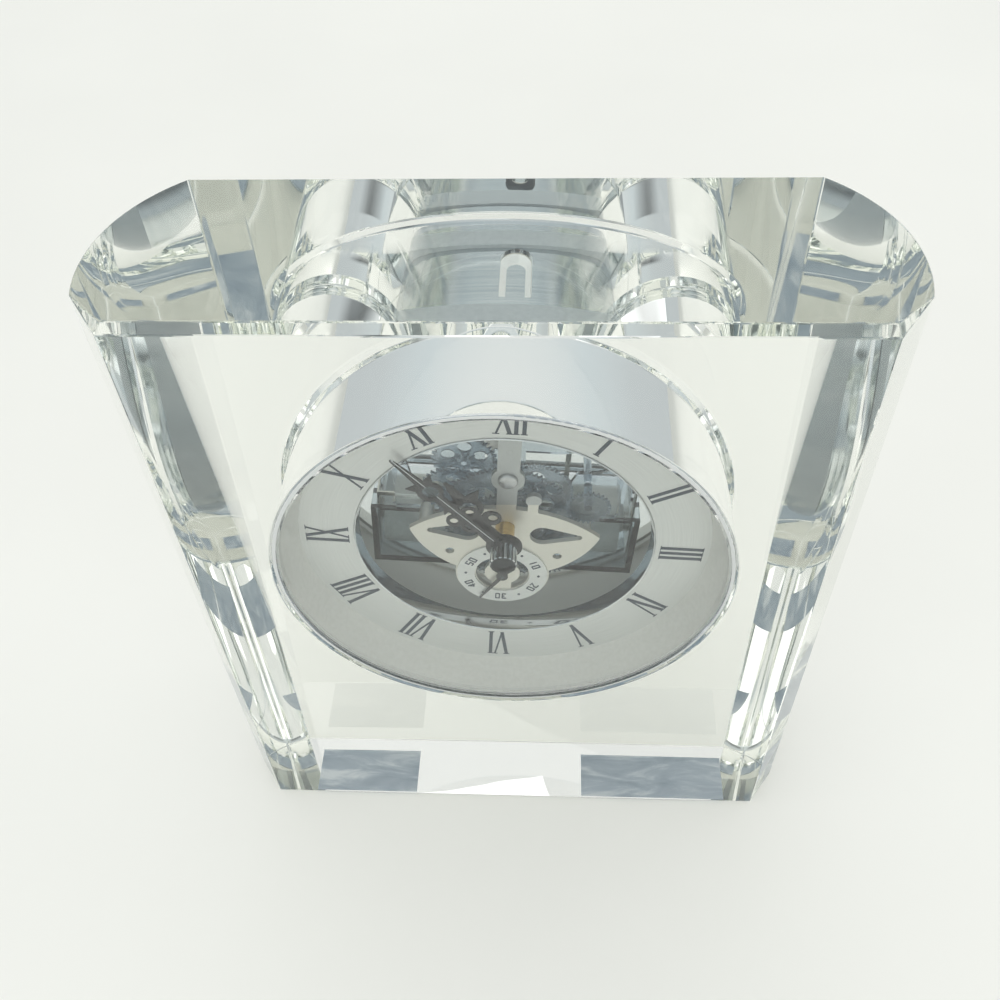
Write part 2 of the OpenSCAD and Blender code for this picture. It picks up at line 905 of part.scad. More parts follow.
module centre_wheel() {
    color([0.45, 0.52, 0.58]) {
        at(layer3)
            wheel(centre_n, going_m, centre_a, thread_r, 6);
        // arbor through the centre tube: its front end carries the minute hand and the nut
        at(nut_front + 0.5)
            disc(thread_r, layer3 + wheel_t - nut_front - 0.5);
        at(layer3)
            disc(1.8, wheel_t + 0.2);
        at(layer3 + wheel_t)
            disc(arbor_r, rear_face - layer3 - wheel_t);
    }
}

module minute_wheel() {
    color([0.45, 0.52, 0.58]) {
        at(layer2, minute_p)
            wheel(minute_n, motion_m, minute_a, arbor_r + run_gap);
        at(layer1, minute_p)
            pinion(minute_pinion_n, motion_m, minute_pinion_a, arbor_r + run_gap, layer_step + wheel_t / 2);
    }
}

module hour_wheel() {
    color([0.45, 0.52, 0.58]) {
        at(layer1)
            wheel(hour_n, motion_m, hour_a, pipe_r, 6);
    }
}

module third_wheel() {
    color([0.45, 0.52, 0.58]) {
        at(layer4, third_p)
            wheel(third_n, going_m, third_a, arbor_r + run_gap, 6);
        at(layer3, third_p)
            pinion(third_pinion_n, going_m, third_pinion_a, arbor_r + run_gap, layer_step + wheel_t / 2);
    }
}

module seconds_wheel() {
    color([0.45, 0.52, 0.58]) {
        at(layer5, seconds_p)
            wheel(sec_wheel_n, motor_m, sec_wheel_a, arbor_r, 6);
        at(layer4, seconds_p)
            pinion(sec_pinion_n, going_m, sec_pinion_a, 0, layer_step + wheel_t / 2);
        at(second_depth, seconds_p)
            disc(arbor_r, rear_face - 0.3 - second_depth);
    }
}

module idler_wheel() {
    color([0.45, 0.52, 0.58])
    at(layer5, idler_p)
        wheel(idler_n, motor_m, idler_a, arbor_r + run_gap);
}

module intermediate_wheel() {
    color([0.45, 0.52, 0.58]) {
        at(layer6, inter_p)
            wheel(inter_n, motor_m, inter_a, arbor_r + run_gap);
        at(layer5, inter_p)
            pinion(inter_pinion_n, motor_m, inter_pinion_a, arbor_r + run_gap, layer_step + wheel_t / 2);
    }
}

module drive_wheel() {
    color([0.45, 0.52, 0.58]) {
        at(layer7, drive_p)
            wheel(drive_n, motor_m, drive_a, arbor_r + run_gap);
        at(layer6, drive_p)
            pinion(drive_pinion_n, motor_m, drive_pinion_a, arbor_r + run_gap, layer_step + wheel_t / 2);
    }
}

module rotor() {
    color([0.9, 0.9, 0.88]) {
        at(layer7, rotor_p)
            pinion(rotor_n, motor_m, rotor_a, 0, wheel_t);
        at(layer7 - 0.3, rotor_p)
            disc(arbor_r, magnet_depth + magnet_t - layer7 + 0.6);
    }
}

module rotor_magnet() {
    color([0.3, 0.3, 0.32])
    at(magnet_depth, rotor_p)
        ring(magnet_r, arbor_r, magnet_t);
}

module stator() {
    color([0.66, 0.66, 0.68])
    at(stator_depth, rotor_p)
        linear_extrude(stator_t)
        difference() {
            union() {
                circle(magnet_r + stator_gap + 1.8);
                translate([-leg_x, -2.2])
                    square([2 * leg_x, 4.4]);
                for (s = [-1, 1])
                    translate([s * (leg_x - 1.5) - 1.5, 0])
                        square([3, coil_rise + coil_core]);
                translate([-leg_x, coil_rise - coil_core / 2])
                    square([2 * leg_x, coil_core]);
            }
            circle(magnet_r + stator_gap);
            // narrow slots either side of the rotor
            for (s = [-1, 1])
                translate([s * (magnet_r + stator_gap + 0.6), -0.2 + s * 0.6])
                    square([0.8, 0.4], center = true);
            for (s = [-1, 1])
                translate([s * 7, 0])
                    circle(screw_r);
        }
}

module coil_tube(r_out, x1, x2, hole) {
    turned()
        translate([rotor_p[0] + x1, front_y + stator_depth + stator_t / 2, axis_z + rotor_p[1] + coil_rise])
        rotate([0, 90, 0])
        difference() {
            cylinder(r = r_out, h = x2 - x1);
            if (hole > 0)
                translate([0, 0, -1])
                    cylinder(r = hole, h = x2 - x1 + 2);
        }
}

bobbin_core_r = 1.35;
module coil_bobbin() {
    color([0.25, 0.27, 0.3])
    difference() {
        union() {
            coil_tube(bobbin_core_r, -coil_len / 2, coil_len / 2, 0);
            for (s = [-1, 1])
                coil_tube(coil_r, s * coil_len / 2 - 0.4, s * coil_len / 2 + 0.4, 0);
        }
        turned()
            translate([rotor_p[0] - coil_len, front_y + stator_depth - 0.05,
                axis_z + rotor_p[1] + coil_rise - coil_core / 2 - 0.05])
            cube([2 * coil_len, stator_t + 0.1, coil_core + 0.1]);
    }
}

module coil_winding() {
    color([0.78, 0.42, 0.22])
    coil_tube(coil_r - 0.3, -coil_len / 2 + 0.42, coil_len / 2 - 0.42, bobbin_core_r + 0.02);
}

module motor_screws() {
    color([0.8, 0.8, 0.8]) {
        for (s = [-1, 1]) {
            at(stator_depth + stator_t, [rotor_p[0] + s * 7, rotor_p[1]])
                disc(screw_head_r, 0.6);
            at(stator_depth - 0.6, [rotor_p[0] + s * 7, rotor_p[1]])
                disc(screw_r - 0.02, stator_t + 0.7);
        }
    }
}

board_x = 10.5;
board_z = 15.3;
board_w = 15.35;
board_h = 8.5;
module circuit_board() {
    color([0.1, 0.35, 0.2])
    at(board_depth)
        translate([board_x, board_z, 0])
        cube([board_w, board_h, board_t]);
}

module quartz_can() {
    color([0.85, 0.85, 0.87])
    turned()
        translate([16.5, front_y + board_depth + board_t + 1.0, axis_z + board_z + 7.1])
        rotate([0, 90, 0])
        cylinder(r = 1, h = 7);
}

module clock_chip() {
    color([0.12, 0.12, 0.13])
    at(board_depth + board_t, [11.4, board_z + 2.5])
        cube([3.6, 4, 1]);
}

// battery, tray and contacts

module battery_tray() {
    half_w = tray_in_w / 2;
    half_h = tray_in_h / 2;
    color([0.35, 0.42, 0.48, 0.7])
    at(rear_face, [0, tray_z])
        difference() {
            translate([-half_w - tray_wall, -half_h - tray_wall, 0])
                cube([2 * (half_w + tray_wall), 2 * (half_h + tray_wall), tray_rear - rear_face]);
            translate([-half_w, -half_h, -1])
                cube([2 * half_w, 2 * half_h, tray_rear]);
            // wide opening in the top wall
            translate([-half_w + 3, half_h - 0.5, 1])
                cube([2 * half_w - 6, tray_wall + 2, tray_rear - rear_face - 2.5]);
            // slots in the top wall for the leads
            for (s = [-1, 1])
                translate([s * (half_w - 0.2) - 0.4, half_h - 1, -1])
                    cube([0.8, tray_wall + 2, 6.5]);
        }
}

cell_r = battery_dia / 2;
button_len = 1.2;
module battery() {
    color([0.25, 0.27, 0.3])
    turned()
        translate([-battery_len / 2, front_y + battery_depth, axis_z + tray_z])
        rotate([0, 90, 0])
        union() {
            cylinder(r = cell_r, h = battery_len - button_len);
            cylinder(r = 2.6, h = battery_len);
        }
}

contact_t = 0.35;
lead_w = 2;
lead_depth = board_depth - contact_t;
module battery_contacts() {
    inner_x = tray_in_w / 2 - contact_t;
    color([0.8, 0.7, 0.45])
    turned() {
        for (s = [-1, 1]) {
            translate([s > 0 ? inner_x : -inner_x - contact_t, front_y + battery_depth - 6, axis_z + tray_z - 4])
                cube([contact_t, 12, 8]);
            // pad pressed against the end of the battery
            translate([s > 0 ? battery_len / 2 + 0.05 : -inner_x - 0.1, front_y + battery_depth, axis_z + tray_z])
                rotate([0, 90, 0])
                cylinder(r = 2.2, h = inner_x + 0.1 - battery_len / 2 - 0.05);
        }
        // leads up behind the rear plate to the circuit board
        translate([inner_x, front_y + battery_depth - 6, axis_z + tray_z])
            cube([contact_t, lead_w, board_z + 3 - tray_z]);
        translate([-inner_x - contact_t, front_y + lead_depth, axis_z + tray_z])
            cube([contact_t, 2 * lead_w, -3 - tray_z]);
        translate([-inner_x - contact_t, front_y + lead_depth, axis_z - 4])
            cube([inner_x + 12.35, contact_t, 1]);
        translate([11, front_y + lead_depth, axis_z - 4])
            cube([1, contact_t, board_z + 5.5]);
    }
}

module hatch_outline(grow) {
    translate([-tray_in_w / 2 - tray_wall - grow, tray_z - tray_in_h / 2 - tray_wall - grow])
        square([tray_in_w + 2 * tray_wall + 2 * grow, tray_in_h + 2 * tray_wall + 2 * grow]);
}

module battery_hatch() {
    color([0.35, 0.42, 0.48, 0.7]) {
        at(tray_rear)
            linear_extrude(hatch_t)
            hatch_outline(0);
        // two ribs that locate the hatch inside the tray
        for (s = [-1, 1])
            at(tray_rear - 1.2, [0, tray_z + s * (tray_in_h / 2 - 0.7)])
                translate([-20, -0.3, 0])
                cube([40, 0.6, 1.4]);
    }
}

// setting knob and rear cover

module setting_wheel() {
    color([0.45, 0.52, 0.58]) {
        at(layer2, setting_p)
            pinion(setting_n, motion_m, setting_a, 2.2, wheel_t);
        at(layer2, setting_p)
            disc(2.3, 0.25);
        at(layer2, setting_p)
            disc(setting_r, knob_front + 1.2 - layer2);
    }
}

knob_r = 4;
knob_front = 36.2;
knob_t = 2;
module setting_knob() {
    color([0.3, 0.33, 0.36])
    at(knob_front, setting_p)
        difference() {
            linear_extrude(knob_t)
                difference() {
                    circle(knob_r);
                    for (i = [0 : 17])
                        rotate(i * 20)
                            translate([knob_r, 0])
                            circle(0.3, $fn = 16);
                }
            translate([0, 0, -1])
                cylinder(r = setting_r, h = 2.2);
        }
}

module rear_cover() {
    color([0.9, 0.94, 0.95, 0.3])
    at(cover_depth)
        linear_extrude(cover_t)
        difference() {
            circle(liner_r);
            hatch_outline(0.15);
            translate(setting_p)
                circle(setting_r + run_gap);
        }
}

module rear_ring() {
    color([0.72, 0.74, 0.75])
    at(drum_rear)
        difference() {
            ring(bezel_r, rear_ring_in_r, rear_ring_end - drum_rear);
        }
}

// hands, drawn pointing to twelve

// outlines run anticlockwise, so that the exact shapes join into one piece
module minute_hand_shape() {
    eye_y = minute_len - 10.3;
    difference() {
        union() {
            circle(2.9);
            polygon([[1.3, 2], [0.75, 9], [1.1, eye_y - 1.7], [-1.1, eye_y - 1.7], [-0.75, 9], [-1.3, 2]]);
            // lower scrolls, and the small leaf above them
            for (s = [-1, 1])
                translate([s * 1.7, 12])
                    circle(1.7);
            polygon([[2.2, 14.4], [0, 17.5], [-2.2, 14.4], [0, 15]]);
            translate([0, eye_y])
                circle(2.5);
            // barbs and tip
            polygon([[3, minute_len - 7], [0.85, minute_len - 7.4], [0.25, minute_len],
                [-0.25, minute_len], [-0.85, minute_len - 7.4], [-3, minute_len - 7],
                [-1.5, minute_len - 9.6], [1.5, minute_len - 9.6]]);
        }
        for (s = [-1, 1])
            translate([s * 1.95, 12.1])
                circle(0.8);
        translate([0, eye_y - 0.1])
            circle(1.55);
        circle(thread_r);
    }
}

module hour_hand_shape() {
    eye_y = hour_len - 7.8;
    difference() {
        union() {
            circle(3.5);
            polygon([[1.5, 2], [0.9, 7], [1, eye_y - 1.7], [-1, eye_y - 1.7], [-0.9, 7], [-1.5, 2]]);
            for (s = [-1, 1])
                translate([s * 2.2, 8.2])
                    circle(1.9);
            translate([0, eye_y])
                circle(2.9);
            polygon([[4.4, hour_len - 4.6], [1.2, hour_len - 4.9], [0.3, hour_len],
                [-0.3, hour_len], [-1.2, hour_len - 4.9], [-4.4, hour_len - 4.6],
                [-2, hour_len - 7.6], [2, hour_len - 7.6]]);
        }
        for (s = [-1, 1])
            translate([s * 2.5, 8.1])
                circle(0.9);
        translate([0, eye_y - 0.1])
            circle(1.7);
        circle(pipe_r);
    }
}

module hour_hand() {
    color([0.16, 0.17, 0.19])
    at(hour_depth)
        rotate(-hour_turn)
        linear_extrude(hand_t)
        hour_hand_shape();
}

module minute_hand() {
    color([0.16, 0.17, 0.19])
    at(minute_depth)
        rotate(-minute_turn)
        linear_extrude(hand_t)
        minute_hand_shape();
}

module seconds_hand() {
    color([0.16, 0.17, 0.19])
    at(second_depth, seconds_p)
        rotate(-second_turn)
        linear_extrude(hand_t)
        difference() {
            union() {
                circle(1.2);
                polygon([[-0.5, -2.6], [0.5, -2.6], [0.16, second_len], [-0.16, second_len]]);
            }
            circle(arbor_r);
        }
}

module hand_nut() {
    color([0.88, 0.88, 0.88])
    at(nut_front)
        difference() {
            intersection() {
                linear_extrude(nut_len)
                    difference() {
                        circle(nut_r);
                        for (i = [0 : 23])
                            rotate(i * 15)
                                translate([nut_r + 0.05, 0])
                                circle(0.2, $fn = 16);
                    }
                rotate_extrude()
                    polygon([[0, -1], [nut_r - 1.6, -0.2], [nut_r - 0.9, 0], [nut_r + 0.1, 1.2],
                        [nut_r + 0.1, nut_len + 1], [0, nut_len + 1]]);
            }
            translate([0, 0, 0.45])
                cylinder(r = thread_r, h = nut_len);
        }
}

crystal_block();
foot_pads();
case_drum();
front_bezel();
front_lens();
grip_bands();
dial_liner();
chapter_ring();
numerals();
trim_ring();
mounting_ring();
front_plate();
mounting_screws();
bridge_screw();
seconds_scale();
seconds_figures();
pillars();
rear_plate();
pillar_screws();
hour_pipe();
centre_wheel();
cannon_pinion();
minute_wheel();
hour_wheel();
third_wheel();
seconds_wheel();
idler_wheel();
intermediate_wheel();
drive_wheel();
rotor();
rotor_magnet();
stator();
coil_bobbin();
coil_winding();
motor_screws();
circuit_board();
quartz_can();
clock_chip();
battery_tray();
battery();
battery_contacts();
setting_wheel();
setting_knob();
hour_hand();
minute_hand();
seconds_hand();
hand_nut();
rear_cover();
rear_ring();
battery_hatch();
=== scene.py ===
# %% [markdown]
# # A crystal desk clock with a skeleton movement
# The real object is a heavy block of polished optical crystal that stands on two soft pads. A hole
# is bored through it from front to back, and a ready-made round clock insert is pushed into the
# hole: a metal case with a lens, a dial ring with Roman numerals, open black hands, and a window
# through which the wheels, the plates and a smoked battery tray are seen.
# This lesson dresses a finished CAD model. The CAD gives every piece its place, so here the work is
# surfaces: which pieces need a finer shape, and what each one is made of.

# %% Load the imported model
import json
import math
import bmesh
import bpy
from mathutils import Matrix, Vector


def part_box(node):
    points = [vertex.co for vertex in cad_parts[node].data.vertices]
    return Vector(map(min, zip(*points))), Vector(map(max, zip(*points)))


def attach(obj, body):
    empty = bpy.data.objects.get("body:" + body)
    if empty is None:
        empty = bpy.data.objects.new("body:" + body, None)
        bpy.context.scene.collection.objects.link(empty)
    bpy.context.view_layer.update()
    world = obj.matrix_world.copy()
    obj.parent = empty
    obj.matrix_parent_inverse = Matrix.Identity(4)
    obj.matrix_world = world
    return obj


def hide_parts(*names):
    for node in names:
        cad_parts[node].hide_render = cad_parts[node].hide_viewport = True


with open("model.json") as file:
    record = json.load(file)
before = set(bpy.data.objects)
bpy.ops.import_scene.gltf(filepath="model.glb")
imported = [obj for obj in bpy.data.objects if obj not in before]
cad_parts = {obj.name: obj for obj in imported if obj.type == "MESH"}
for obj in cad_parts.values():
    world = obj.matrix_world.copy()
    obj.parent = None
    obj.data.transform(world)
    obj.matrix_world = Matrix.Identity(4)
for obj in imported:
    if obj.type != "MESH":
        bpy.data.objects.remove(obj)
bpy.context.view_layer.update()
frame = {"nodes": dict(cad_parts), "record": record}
nodes = frame["nodes"]

# %% [markdown]
# ## Measures
# All numbers are metres in the frame of the CAD model: x to the right, y to the rear, z up, and the
# floor at z = 0. The crystal's measures are the ones that its CAD solid was drawn from. The insert
# sits in its hole turned a little clockwise, as someone's hand left it. A place on it is therefore
# given as on its own upright drawing, in millimetres from the dial's centre and behind the front
# face, and turned and moved to its real place by one function. Places closer than a thousandth of
# a millimetre count as the same place.

# %% Values and places on the insert
mm = 0.001
low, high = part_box("crystal_block")
front_y, back_y = low.y, high.y
base_z, top_z = low.z, high.z
axis = Vector((0.0, 0.0, 0.090))
bore_r = 43.0 * mm
insert_turn = math.radians(3.8)
touching = 0.001 * mm


def on_insert(across, up, deep):
    turned = Matrix.Rotation(insert_turn, 3, "Y") @ Vector((across * mm, 0, up * mm))
    return axis + turned + Vector((0, front_y + deep * mm, 0))


print("crystal", [round(v * 1000, 2) for v in (high - low)], "mm, front at",
      round(front_y * 1000, 2))

# %% [markdown]
# ## Helpers for shaping
# The operators of edit mode act on whatever is selected, and the loaded nodes come in selected, so
# each piece starts by clearing the selection. Faces and edges are then chosen by where they are or
# which way they point. At the end every piece gets its normals pointing outwards, is shaded smooth
# only across shallow angles, and has its place written into its mesh.

# %% Selection, cuts and finishing
def begin():
    if bpy.context.object and bpy.context.object.mode != "OBJECT":
        bpy.ops.object.mode_set(mode="OBJECT")
    bpy.ops.object.select_all(action="DESELECT")


def open_mesh(piece):
    begin()
    piece.select_set(True)
    bpy.context.view_layer.objects.active = piece
    bpy.ops.object.mode_set(mode="EDIT")


def round_bar(name, sides, radius, length, middle, lying=True):
    """A cylinder, lying from front to back or standing, left open in edit mode."""
    begin()
    turn = (math.pi / 2 if lying else 0, 0, 0)
    bpy.ops.mesh.primitive_cylinder_add(vertices=sides, radius=radius, depth=length,
                                        end_fill_type="NGON", location=middle, rotation=turn)
    piece = bpy.context.object
    piece.name = name
    bpy.ops.object.transform_apply(location=True, rotation=True, scale=True)
    bpy.ops.object.mode_set(mode="EDIT")
    return piece


def settle(piece, smooth_angle):
    begin()
    piece.select_set(True)
    bpy.context.view_layer.objects.active = piece
    bpy.ops.object.transform_apply(location=True, rotation=True, scale=True)
    bpy.ops.object.mode_set(mode="EDIT")
    bpy.ops.mesh.select_all(action="SELECT")
    bpy.ops.mesh.remove_doubles(threshold=touching / 2)
    bpy.ops.mesh.normals_make_consistent(inside=False)
    bpy.ops.object.mode_set(mode="OBJECT")
    bpy.ops.object.shade_smooth_by_angle(angle=math.radians(smooth_angle))
    piece.select_set(False)
    print(piece.name, len(piece.data.polygons), "faces")
    return piece


def pick(test, kind="faces"):
    """In edit mode, selects just the faces, edges or verts for which test is true."""
    bpy.ops.mesh.select_mode(type={"faces": "FACE", "edges": "EDGE", "verts": "VERT"}[kind])
    bpy.ops.mesh.select_all(action="DESELECT")
    shape = bmesh.from_edit_mesh(bpy.context.object.data)
    shape.normal_update()
    for part in getattr(shape, kind):
        if test(part):
            part.select_set(True)
    shape.select_flush_mode()
    bmesh.update_edit_mesh(bpy.context.object.data)


def cut(point, normal, keep_below=True, fill=True):
    bpy.ops.mesh.select_all(action="SELECT")
    bpy.ops.mesh.bisect(plane_co=point, plane_no=Vector(normal).normalized(), use_fill=fill,
                        clear_outer=keep_below, clear_inner=not keep_below, threshold=touching)


def apply_modifier(piece, kind, **settings):
    bpy.context.view_layer.objects.active = piece
    modifier = piece.modifiers.new(kind.lower(), kind)
    for name, value in settings.items():
        setattr(modifier, name, value)
    bpy.ops.object.modifier_apply(modifier=modifier.name)


def wear_on(piece, body, stands_for):
    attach(piece, body)
    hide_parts(stands_for)


# %% [markdown]
# ## The crystal block
# Optical crystal is poured, sawn, ground flat and polished on felt, and its long edges are eased so
# that they don't chip. What the eye gets from it is the bent and mirrored picture of everything
# behind it, and any small facet in a rounded side or in the hole would break that picture into
# stripes. The CAD solid has steps of a few millimetres there, so the block is made again, finer.
# Half of it starts as a tall cylinder of many sides, the rounded flank. It is cut at the flank's
# centre line, the cut face is pulled over to the middle of the block, and planes cut the front, the
# back and the slanting facet. A mirror gives the other half, and a fine cylinder bores the hole.

# %% Flank, cuts and mirror
side_r, side_x, side_deep = 30.4 * mm, 34.6 * mm, 15 * mm
front_x, facet_depth = 58.4 * mm, 7.7 * mm
facet_x = side_x + math.sqrt(side_r ** 2 - (side_deep - facet_depth) ** 2)
height = top_z - base_z
side_steps, bore_steps, bore_len = 384, 512, 100 * mm

crystal = round_bar("crystal_polished", side_steps, side_r, height,
                    (side_x, front_y + side_deep, base_z + height / 2), lying=False)
cut((side_x, 0, 0), (1, 0, 0), keep_below=False)
pick(lambda face: face.normal.x < -0.99)
bpy.ops.mesh.extrude_region_move(TRANSFORM_OT_translate={"value": (-side_x, 0, 0)})
facet_normal = (facet_depth, -(facet_x - front_x), 0)
cut((0, front_y, 0), (0, 1, 0), keep_below=False)
cut((0, back_y, 0), (0, 1, 0))
cut((front_x, front_y, 0), facet_normal)
bpy.ops.object.mode_set(mode="OBJECT")
print("half block", len(crystal.data.polygons), "faces, facet from", round(front_x * 1000, 1),
      "to", round(facet_x * 1000, 1), "mm")

# %% [markdown]
# The top front edge carries a real bevel, 1.5 mm, that runs on over the slanting facets until it
# vanishes, and the rear rim of the hole a smaller one, which shows from the front as a grey band
# round the insert. The other edges only lose their sharpness. The bevel planes at the top pass
# through the same points as in the CAD: the bevel of the facet fades out at 0.96 of the facet's
# width, and starts a tenth lower than the front one.

# %% Bevels, mirror and bore
top_bevel, rear_bevel, ease = 1.5 * mm, 1.2 * mm, 0.3 * mm
fade_share, start_share = 0.96, 1.1
far = Vector((front_x + fade_share * (facet_x - front_x), front_y + fade_share * facet_depth,
              top_z))
low_point = Vector((front_x, front_y, top_z - start_share * top_bevel))
inner = Vector((front_x - top_bevel / 2, front_y + top_bevel, top_z))
slant = (inner - far).cross(low_point - far)
slant = slant if slant.z > 0 else -slant

open_mesh(crystal)
cut((0, front_y, top_z - top_bevel), (0, -1, 1))
cut(far, slant)
pick(lambda face: abs(face.normal.x) > 0.99 and abs(face.calc_center_median().x) < touching)
bpy.ops.mesh.delete(type="FACE")
bpy.ops.object.mode_set(mode="OBJECT")
apply_modifier(crystal, "MIRROR", use_axis=(True, False, False), use_clip=True,
               merge_threshold=touching)

bore = round_bar("bore", bore_steps, bore_r, bore_len, axis)
begin()
apply_modifier(crystal, "BOOLEAN", operation="DIFFERENCE", solver="EXACT", object=bore)
bpy.data.objects.remove(bore)
settle(crystal, 12)


def on_rear_rim(vert):
    from_axis = (vert.co - axis).xz.length
    return abs(vert.co.y - back_y) < touching and abs(from_axis - bore_r) < 10 * touching


open_mesh(crystal)
pick(lambda edge: all(on_rear_rim(vert) for vert in edge.verts), "edges")
bpy.ops.mesh.bevel(offset=rear_bevel, segments=1, affect="EDGES")
bpy.ops.object.mode_set(mode="OBJECT")
apply_modifier(crystal, "BEVEL", width=ease, segments=2, limit_method="ANGLE",
               angle_limit=math.radians(18), miter_outer="MITER_SHARP")
settle(crystal, 12)
wear_on(crystal, "block", "crystal_block")

# %% [markdown]
# ## The pads and where they cling
# Two pads of soft silicone are stuck under the block. Where they cling, there is no air under the
# glass, so the underside stops being a mirror there and shows the pad's blue-grey face instead.
# That patch belongs to the glass surface, so the underside is cut along the outlines of the pads,
# and the two patches get a material slot of their own.

# %% Patches on the underside
pad_y, pad_deep, pad_t = front_y + 1 * mm, 30 * mm, base_z
pads = [(-49 * mm, -24 * mm), (17 * mm, 52 * mm)]
side_lines = [((x, 0, 0), (1, 0, 0)) for pair in pads for x in pair]
front_and_back = [((0, y, 0), (0, 1, 0)) for y in (pad_y, pad_y + pad_deep)]

open_mesh(crystal)
for _ in range(2):
    bpy.ops.object.material_slot_add()
for point, normal in side_lines + front_and_back:
    pick(lambda face: face.normal.z < -0.999)
    bpy.ops.mesh.bisect(plane_co=point, plane_no=normal, threshold=touching)


def over_a_pad(face):
    middle = face.calc_center_median()
    return (face.normal.z < -0.999 and pad_y < middle.y < pad_y + pad_deep
            and any(left < middle.x < right for left, right in pads))


pick(over_a_pad)
crystal.active_material_index = 1
bpy.ops.object.material_slot_assign()
crystal.active_material_index = 0
bpy.ops.object.mode_set(mode="OBJECT")
print("patches on the underside:", sum(f.material_index == 1 for f in crystal.data.polygons))

# %% [markdown]
# A pad is punched from a sheet: square edges with rounded corners, and a lower rim that has settled
# under the weight. A film of air stays between pad and glass, so that no two faces lie in one
# plane.

# %% The two pads
air, corner, settled = 0.02 * mm, 1.5 * mm, 0.3 * mm
pad_height = pad_t - air
made_pads = []
for left, right in pads:
    begin()
    bpy.ops.mesh.primitive_cube_add(size=1, scale=(right - left, pad_deep, pad_height),
                                    location=((left + right) / 2, pad_y + pad_deep / 2,
                                              pad_height / 2))
    pad = bpy.context.object
    bpy.ops.object.transform_apply(location=True, rotation=True, scale=True)
    bpy.ops.object.mode_set(mode="EDIT")
    pick(lambda edge: abs((edge.verts[0].co - edge.verts[1].co).normalized().z) > 0.9, "edges")
    bpy.ops.mesh.bevel(offset=corner, segments=6, affect="EDGES")
    pick(lambda face: face.normal.z < -0.9)
    bpy.ops.mesh.bevel(offset=settled, segments=3, affect="EDGES")
    made_pads.append(settle(pad, 40))
begin()
for pad in made_pads:
    pad.select_set(True)
bpy.context.view_layer.objects.active = made_pads[0]
bpy.ops.object.join()
foot_pads = settle(bpy.context.object, 40)
foot_pads.name = "pads_silicone_punched"
wear_on(foot_pads, "block", "foot_pads")

# %% [markdown]
# ## The lens
# A disc of float glass, ground round, with its front edge bevelled on a wheel and polished. A short
# cylinder is the disc, and the bevel operator does the wheel's work on its front rim.

# %% Lens disc and its bevel
lens_r, lens_t, lens_front = 42.2 * mm, 2.4 * mm, front_y + 0.35 * mm
lens_bevel, lens_ease = 0.8 * mm, 0.1 * mm
lens = round_bar("lens_ground_round", 320, lens_r, lens_t, (0, lens_front + lens_t / 2, axis.z))
pick(lambda face: face.normal.y < -0.99)
bpy.ops.mesh.bevel(offset=lens_bevel, segments=1, affect="EDGES")
pick(lambda face: face.normal.y > 0.99)
bpy.ops.mesh.bevel(offset=lens_ease, segments=1, affect="EDGES")
settle(lens, 20)
wear_on(lens, "insert", "front_lens")

# %% [markdown]
# ## Grooved turned pieces
# The nut that holds the hands and the knob at the rear are turned from round bar and grooved along
# their sides, so that fingers can grip them. Each starts as a cylinder with four sides to a groove.
# Every fourth long edge is drawn in towards the middle, which makes the groove, and the end face is
# pulled out and narrowed step by step.

# %% Grooved cylinder
def grooved(name, middle, radius, length, grooves, sink, ends, side=-1):
    """ends lists (length pulled out, share of the width kept); side -1 is the front end."""
    piece = round_bar(name, grooves * 4, radius, length, middle)

    def groove_edge(edge):
        a, b = (vert.co - middle for vert in edge.verts)
        turn = math.atan2(a.x, a.z) / (2 * math.pi) * grooves
        return abs(a.x - b.x) + abs(a.z - b.z) < touching and abs(turn - round(turn)) < 0.05

    pick(groove_edge, "edges")
    bpy.ops.transform.resize(value=(1 - sink / radius, 1, 1 - sink / radius),
                             center_override=middle)
    pick(lambda face: face.normal.y * side > 0.99)
    for pull, keep in ends:
        bpy.ops.mesh.extrude_region_move(TRANSFORM_OT_translate={"value": (0, pull * side, 0)})
        bpy.ops.transform.resize(value=(keep, 1, keep), center_override=middle)
    return settle(piece, 25)


groove_sink = 0.35 * mm
nut_r, nut_len, nut_middle = 2.58 * mm, 2.8 * mm, on_insert(0, 0, 7.1)
nut_front = [(0.85 * mm, 1.0), (0.35 * mm, 0.84), (0.0, 0.7), (-0.4 * mm, 0.9)]
nut = grooved("nut_knurled_plated", nut_middle, nut_r, nut_len, 16, groove_sink, nut_front)
wear_on(nut, "minute", "hand_nut")

knob_low, knob_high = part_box("setting_knob")
knob_r, knob_len, rim_len = 3.95 * mm, 1.6 * mm, 0.4 * mm
knob_middle = (knob_low + knob_high) / 2 - Vector((0, rim_len / 2, 0))
knob_back = [(0.36 * mm, 0.92), (0.0, 0.86), (-0.35 * mm, 1.0), (0.0, 0.4), (0.3 * mm, 0.95)]
knob = grooved("knob_moulded", knob_middle, knob_r, knob_len, 18, groove_sink, knob_back, side=1)
wear_on(knob, "setting", "setting_knob")

# %% [markdown]
# ## The plain head above the centre
# The round end of the bar is held by a low button head, pressed, with a rounded rim, on a shank
# that goes into the bar.

# %% Button head
head_r, head_t, head_round = 1.9 * mm, 0.7 * mm, 0.5 * mm
shank_r, shank_len = 0.58 * mm, 0.95 * mm
bar_end_up, head_deep = 13.6, 13.65
button = round_bar("bar_button_head", 64, head_r, head_t, on_insert(0, bar_end_up, head_deep))
pick(lambda face: face.normal.y < -0.99)
bpy.ops.mesh.bevel(offset=head_round, segments=5, affect="EDGES")
pick(lambda face: face.normal.y > 0.99)
bpy.ops.mesh.inset(thickness=head_r - shank_r)
bpy.ops.mesh.extrude_region_move(TRANSFORM_OT_translate={"value": (0, shank_len, 0)})
settle(button, 30)
wear_on(button, "insert", "bridge_screw")

